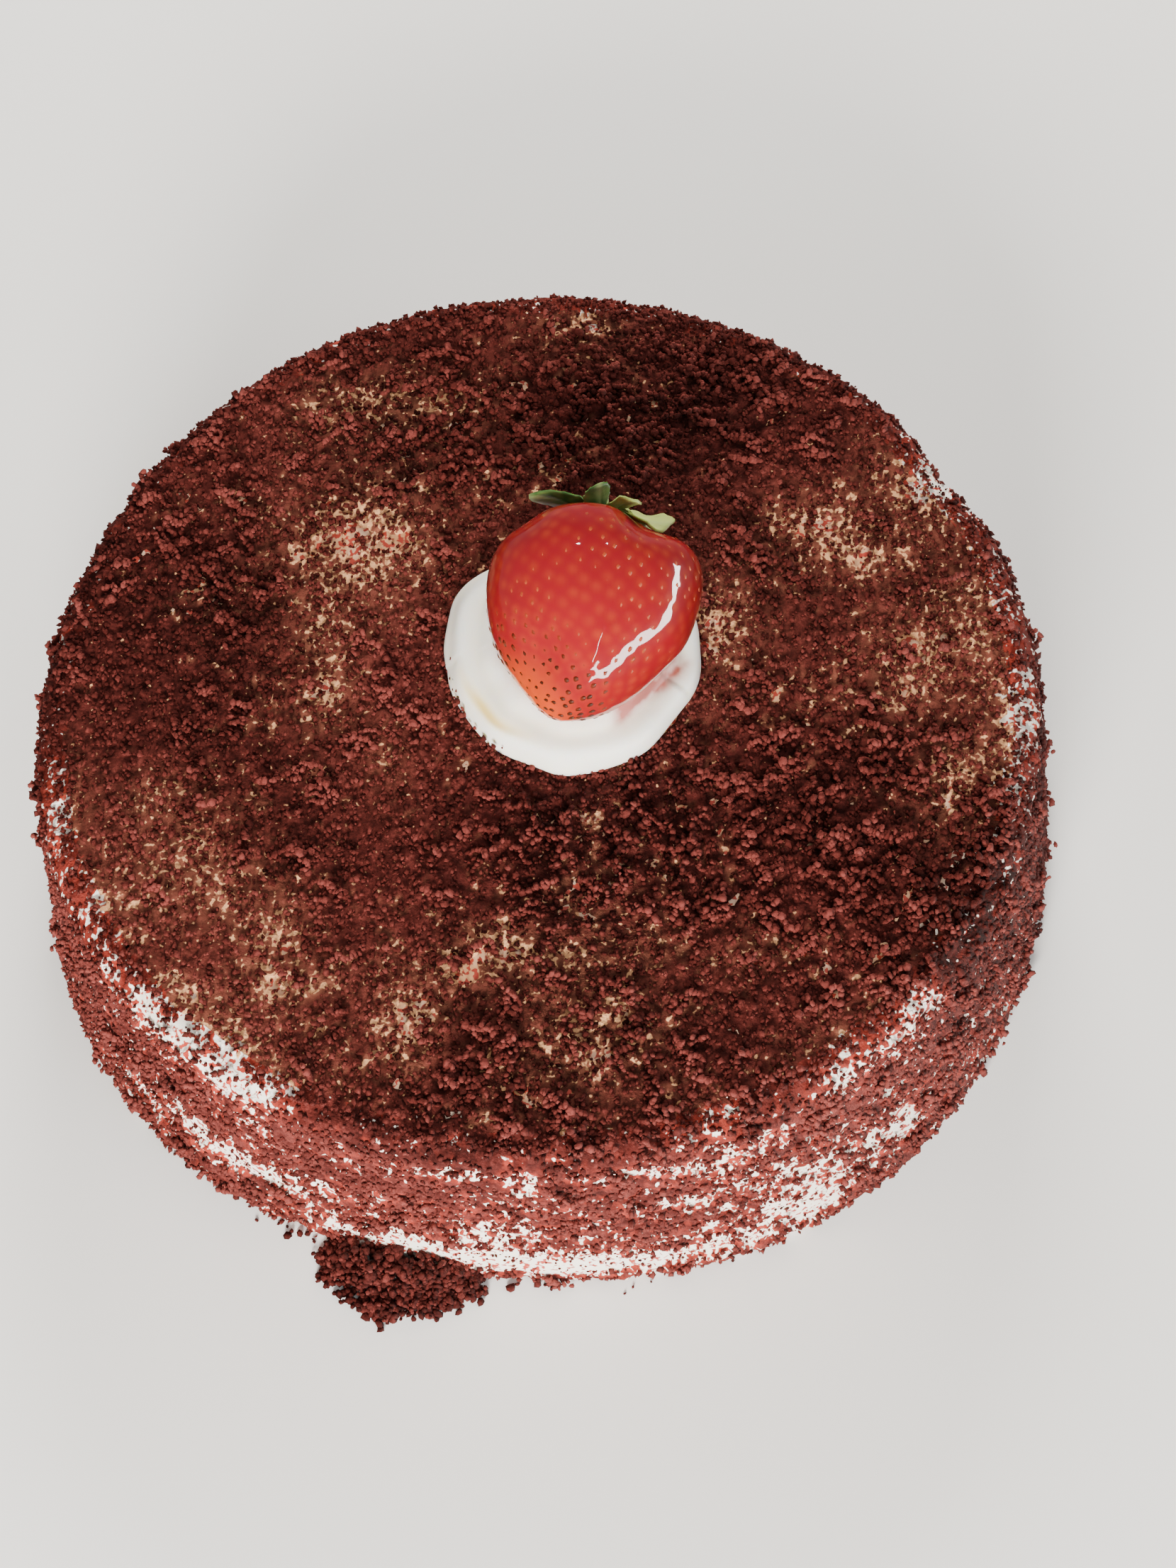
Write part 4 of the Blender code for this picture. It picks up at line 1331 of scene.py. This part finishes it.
def make_stalk(berry, material):
    """The stump of stalk at the middle of the calyx."""
    flare = [(0.4, 0.6), (1.9, 0.4), (1.5, -0.8), (1.25, -2.2)]
    end = [(1.3, -3.4), (0.9, -3.9), (0.2, -3.9)]
    profile = np.array(flare + end)
    base_z = -berry.length / 2 + 1.6 * MM
    rows, columns = [], 14
    for radius, z in profile * MM:
        for k in range(columns):
            turn = k / columns * math.tau
            wide = radius * (1 + 0.06 * math.cos(3 * turn))
            rows.append((wide * math.cos(turn), wide * math.sin(turn), base_z + z))
    faces = grid_faces(len(profile), columns, True)
    obj = mesh_object("calyx_stalk", in_world(berry, np.array(rows)), faces)
    mark_points(obj, "pale", np.full(len(rows), 0.6))
    mark_points(obj, "vein", np.zeros(len(rows)))
    smooth = obj.modifiers.new("soften", "SUBSURF")
    smooth.levels = smooth.render_levels = 1
    bake_modifiers(obj)
    finish_piece(obj, material, "leaf_green", "calyx")


# ---------------------------------------------------------------- stage


def make_stage():
    """Pale floor and soft lights."""
    mesh = bpy.data.meshes.new("studio_floor")
    mesh.from_pydata([(-4, -4, 0), (4, -4, 0), (4, 4, 0), (-4, 4, 0)], [], [(0, 1, 2, 3)])
    floor = new_object("studio_floor", mesh)
    pale = (0.78, 0.77, 0.75, 1)
    material, *_ = new_material("pale_floor", Roughness=0.9, Base_Color=pale, Specular_IOR_Level=0.0)
    mesh.materials.append(material)
    floor.visible_glossy = False

    world = bpy.data.worlds.new("studio")
    world.use_nodes = True
    set_inputs(world.node_tree.nodes["Background"], {"Color": (1.0, 0.98, 0.95, 1), "Strength": 0.2})
    bpy.context.scene.world = world

    target = Vector((0.01, 0.0, 0.05))
    ball_light("key", (-0.18, -0.8, 0.32), radius=0.18, power=104)
    ball_light("back", (0.1, 0.85, 0.45), radius=0.22, power=68)
    mirrored_light("side_strip", (0.65, -0.42, 0.045), width=1.8, height=0.1, power=26, target=target)
    mirrored_light("front_strip", (0.2, -0.78, 0.42), width=0.03, height=0.3, power=2.0, target=target)
    mirrored_light("lamp_left", (-0.1, 0.3, 0.85), width=0.035, height=0.035, power=0.5, target=target)
    mirrored_light("lamp_right", (0.32, 0.28, 0.8), width=0.035, height=0.035, power=0.5, target=target)

    sun = bpy.data.lights.new("fill_sun", "SUN")
    sun.energy, sun.angle = 1.4, math.radians(40)
    fill = new_object("fill_sun", sun)
    fill.rotation_euler = (math.radians(35), 0, math.radians(50))
    fill.visible_glossy = False


def ball_light(name, place, radius, power):
    """A soft warm light that shines all round, and that glossy surfaces don't mirror."""
    light = bpy.data.lights.new(name, "POINT")
    light.shadow_soft_size = radius
    light.energy = power
    light.color = (1.0, 0.96, 0.9)
    obj = new_object(name, light)
    obj.location = place
    obj.visible_camera = obj.visible_glossy = False


def mirrored_light(name, place, width, height, power, target):
    """A rectangular light that faces the target. It is only seen mirrored in glossy surfaces."""
    light = bpy.data.lights.new(name, "AREA")
    light.shape = "RECTANGLE"
    light.size = width
    light.size_y = height
    light.energy = power
    light.color = (1.0, 0.96, 0.9)
    obj = new_object(name, light)
    obj.location = place
    obj.visible_camera = obj.visible_diffuse = obj.visible_transmission = False
    obj.rotation_euler = (target - Vector(place)).to_track_quat("-Z", "Y").to_euler()


def make_camera():
    """The camera where the photograph was taken from: above the front, a little to the right."""
    camera = bpy.data.cameras.new("photo_camera")
    camera.sensor_width = 36.0
    camera.lens = 58.59
    camera.clip_start = 0.01
    obj = new_object("photo_camera", camera)
    tilt, roll = math.radians(27.7238), math.radians(-4.9588)
    turn = Matrix.Rotation(tilt, 4, "X") @ Matrix.Rotation(roll, 4, "Z")
    obj.matrix_world = Matrix.Translation(Vector((8.584, -249.513, 488.880)) * MM) @ turn
    bpy.context.scene.camera = obj


# ---------------------------------------------------------------- operators and panel


class CAKE_OT_coat(bpy.types.Operator):
    """Spread the cream and press the beds of crumbs on it"""

    bl_idname = "cake.coat"
    bl_label = "Cream and Crumb Beds"

    def execute(self, context):
        scene = context.scene
        cake, crumbs, rosette = scene.cake_body, scene.cake_crumbs, scene.cake_rosette
        make_coat(cake, coat_material(cake, crumbs))
        on_top = bed_material("crumbs_on_top", crumbs, cake.dusted, crumbs.rubbed, least=0.7)
        on_side = bed_material("crumbs_on_side", crumbs, cake.cream, crumbs.dusty, least=0.69)
        make_top_bed(cake, crumbs, rosette, on_top)
        make_side_bed(cake, crumbs, on_side)
        return {"FINISHED"}


class CAKE_OT_crumbs(bpy.types.Operator):
    """Scatter the loose crumbs and heap the fallen ones"""

    bl_idname = "cake.crumbs"
    bl_label = "Loose Crumbs"

    def execute(self, context):
        scene = context.scene
        material = crumb_material(scene.cake_crumbs)
        make_loose_crumbs(scene.cake_body, scene.cake_crumbs, scene.cake_rosette, material)
        make_stuck_crumbs(scene.cake_body, scene.cake_rosette, material)
        make_drift(scene.cake_body, scene.cake_crumbs, material)
        return {"FINISHED"}


class CAKE_OT_rosette(bpy.types.Operator):
    """Pipe the cream rosette"""

    bl_idname = "cake.rosette"
    bl_label = "Cream Rosette"

    def execute(self, context):
        scene = context.scene
        make_rosette(scene.cake_body, scene.cake_rosette, scene.cake_berry)
        return {"FINISHED"}


class CAKE_OT_berry(bpy.types.Operator):
    """Lay the glazed berry with its seeds"""

    bl_idname = "cake.berry"
    bl_label = "Glazed Berry"

    def execute(self, context):
        make_berry(context.scene.cake_berry)
        make_seeds(context.scene.cake_berry)
        return {"FINISHED"}


class CAKE_OT_calyx(bpy.types.Operator):
    """Grow the berry's leaves"""

    bl_idname = "cake.calyx"
    bl_label = "Leaves"

    def execute(self, context):
        make_calyx(context.scene.cake_leaves, context.scene.cake_berry)
        return {"FINISHED"}


class CAKE_OT_stage(bpy.types.Operator):
    """Set the floor, the lights and the camera"""

    bl_idname = "cake.stage"
    bl_label = "Stage"

    def execute(self, context):
        make_stage()
        make_camera()
        return {"FINISHED"}


OPERATORS = (CAKE_OT_coat, CAKE_OT_crumbs, CAKE_OT_rosette, CAKE_OT_berry, CAKE_OT_calyx, CAKE_OT_stage)


class CAKE_PT_panel(bpy.types.Panel):
    """Sidebar panel with the cake's settings and steps"""

    bl_idname = "CAKE_PT_panel"
    bl_label = "Crumb Cake"
    bl_space_type = "VIEW_3D"
    bl_region_type = "UI"
    bl_category = "Cake"

    def draw(self, context):
        for operator in OPERATORS:
            self.layout.operator(operator.bl_idname)
        for name, group in SETTINGS.items():
            box = self.layout.box()
            box.label(text=group.__doc__)
            for prop in group.__annotations__:
                box.prop(getattr(context.scene, name), prop)


def register():
    """Registers the settings, the operators and the panel."""
    for cls in (*SETTINGS.values(), *OPERATORS, CAKE_PT_panel):
        bpy.utils.register_class(cls)
    for name, group in SETTINGS.items():
        setattr(bpy.types.Scene, name, PointerProperty(type=group))


def unregister():
    """Takes them away again."""
    for name in SETTINGS:
        delattr(bpy.types.Scene, name)
    for cls in reversed((*SETTINGS.values(), *OPERATORS, CAKE_PT_panel)):
        bpy.utils.unregister_class(cls)


def main():
    """Builds every piece in order."""
    register()
    bpy.ops.cake.coat()
    bpy.ops.cake.crumbs()
    bpy.ops.cake.rosette()
    bpy.ops.cake.berry()
    bpy.ops.cake.calyx()
    bpy.ops.cake.stage()


if __name__ == "__main__":
    main()
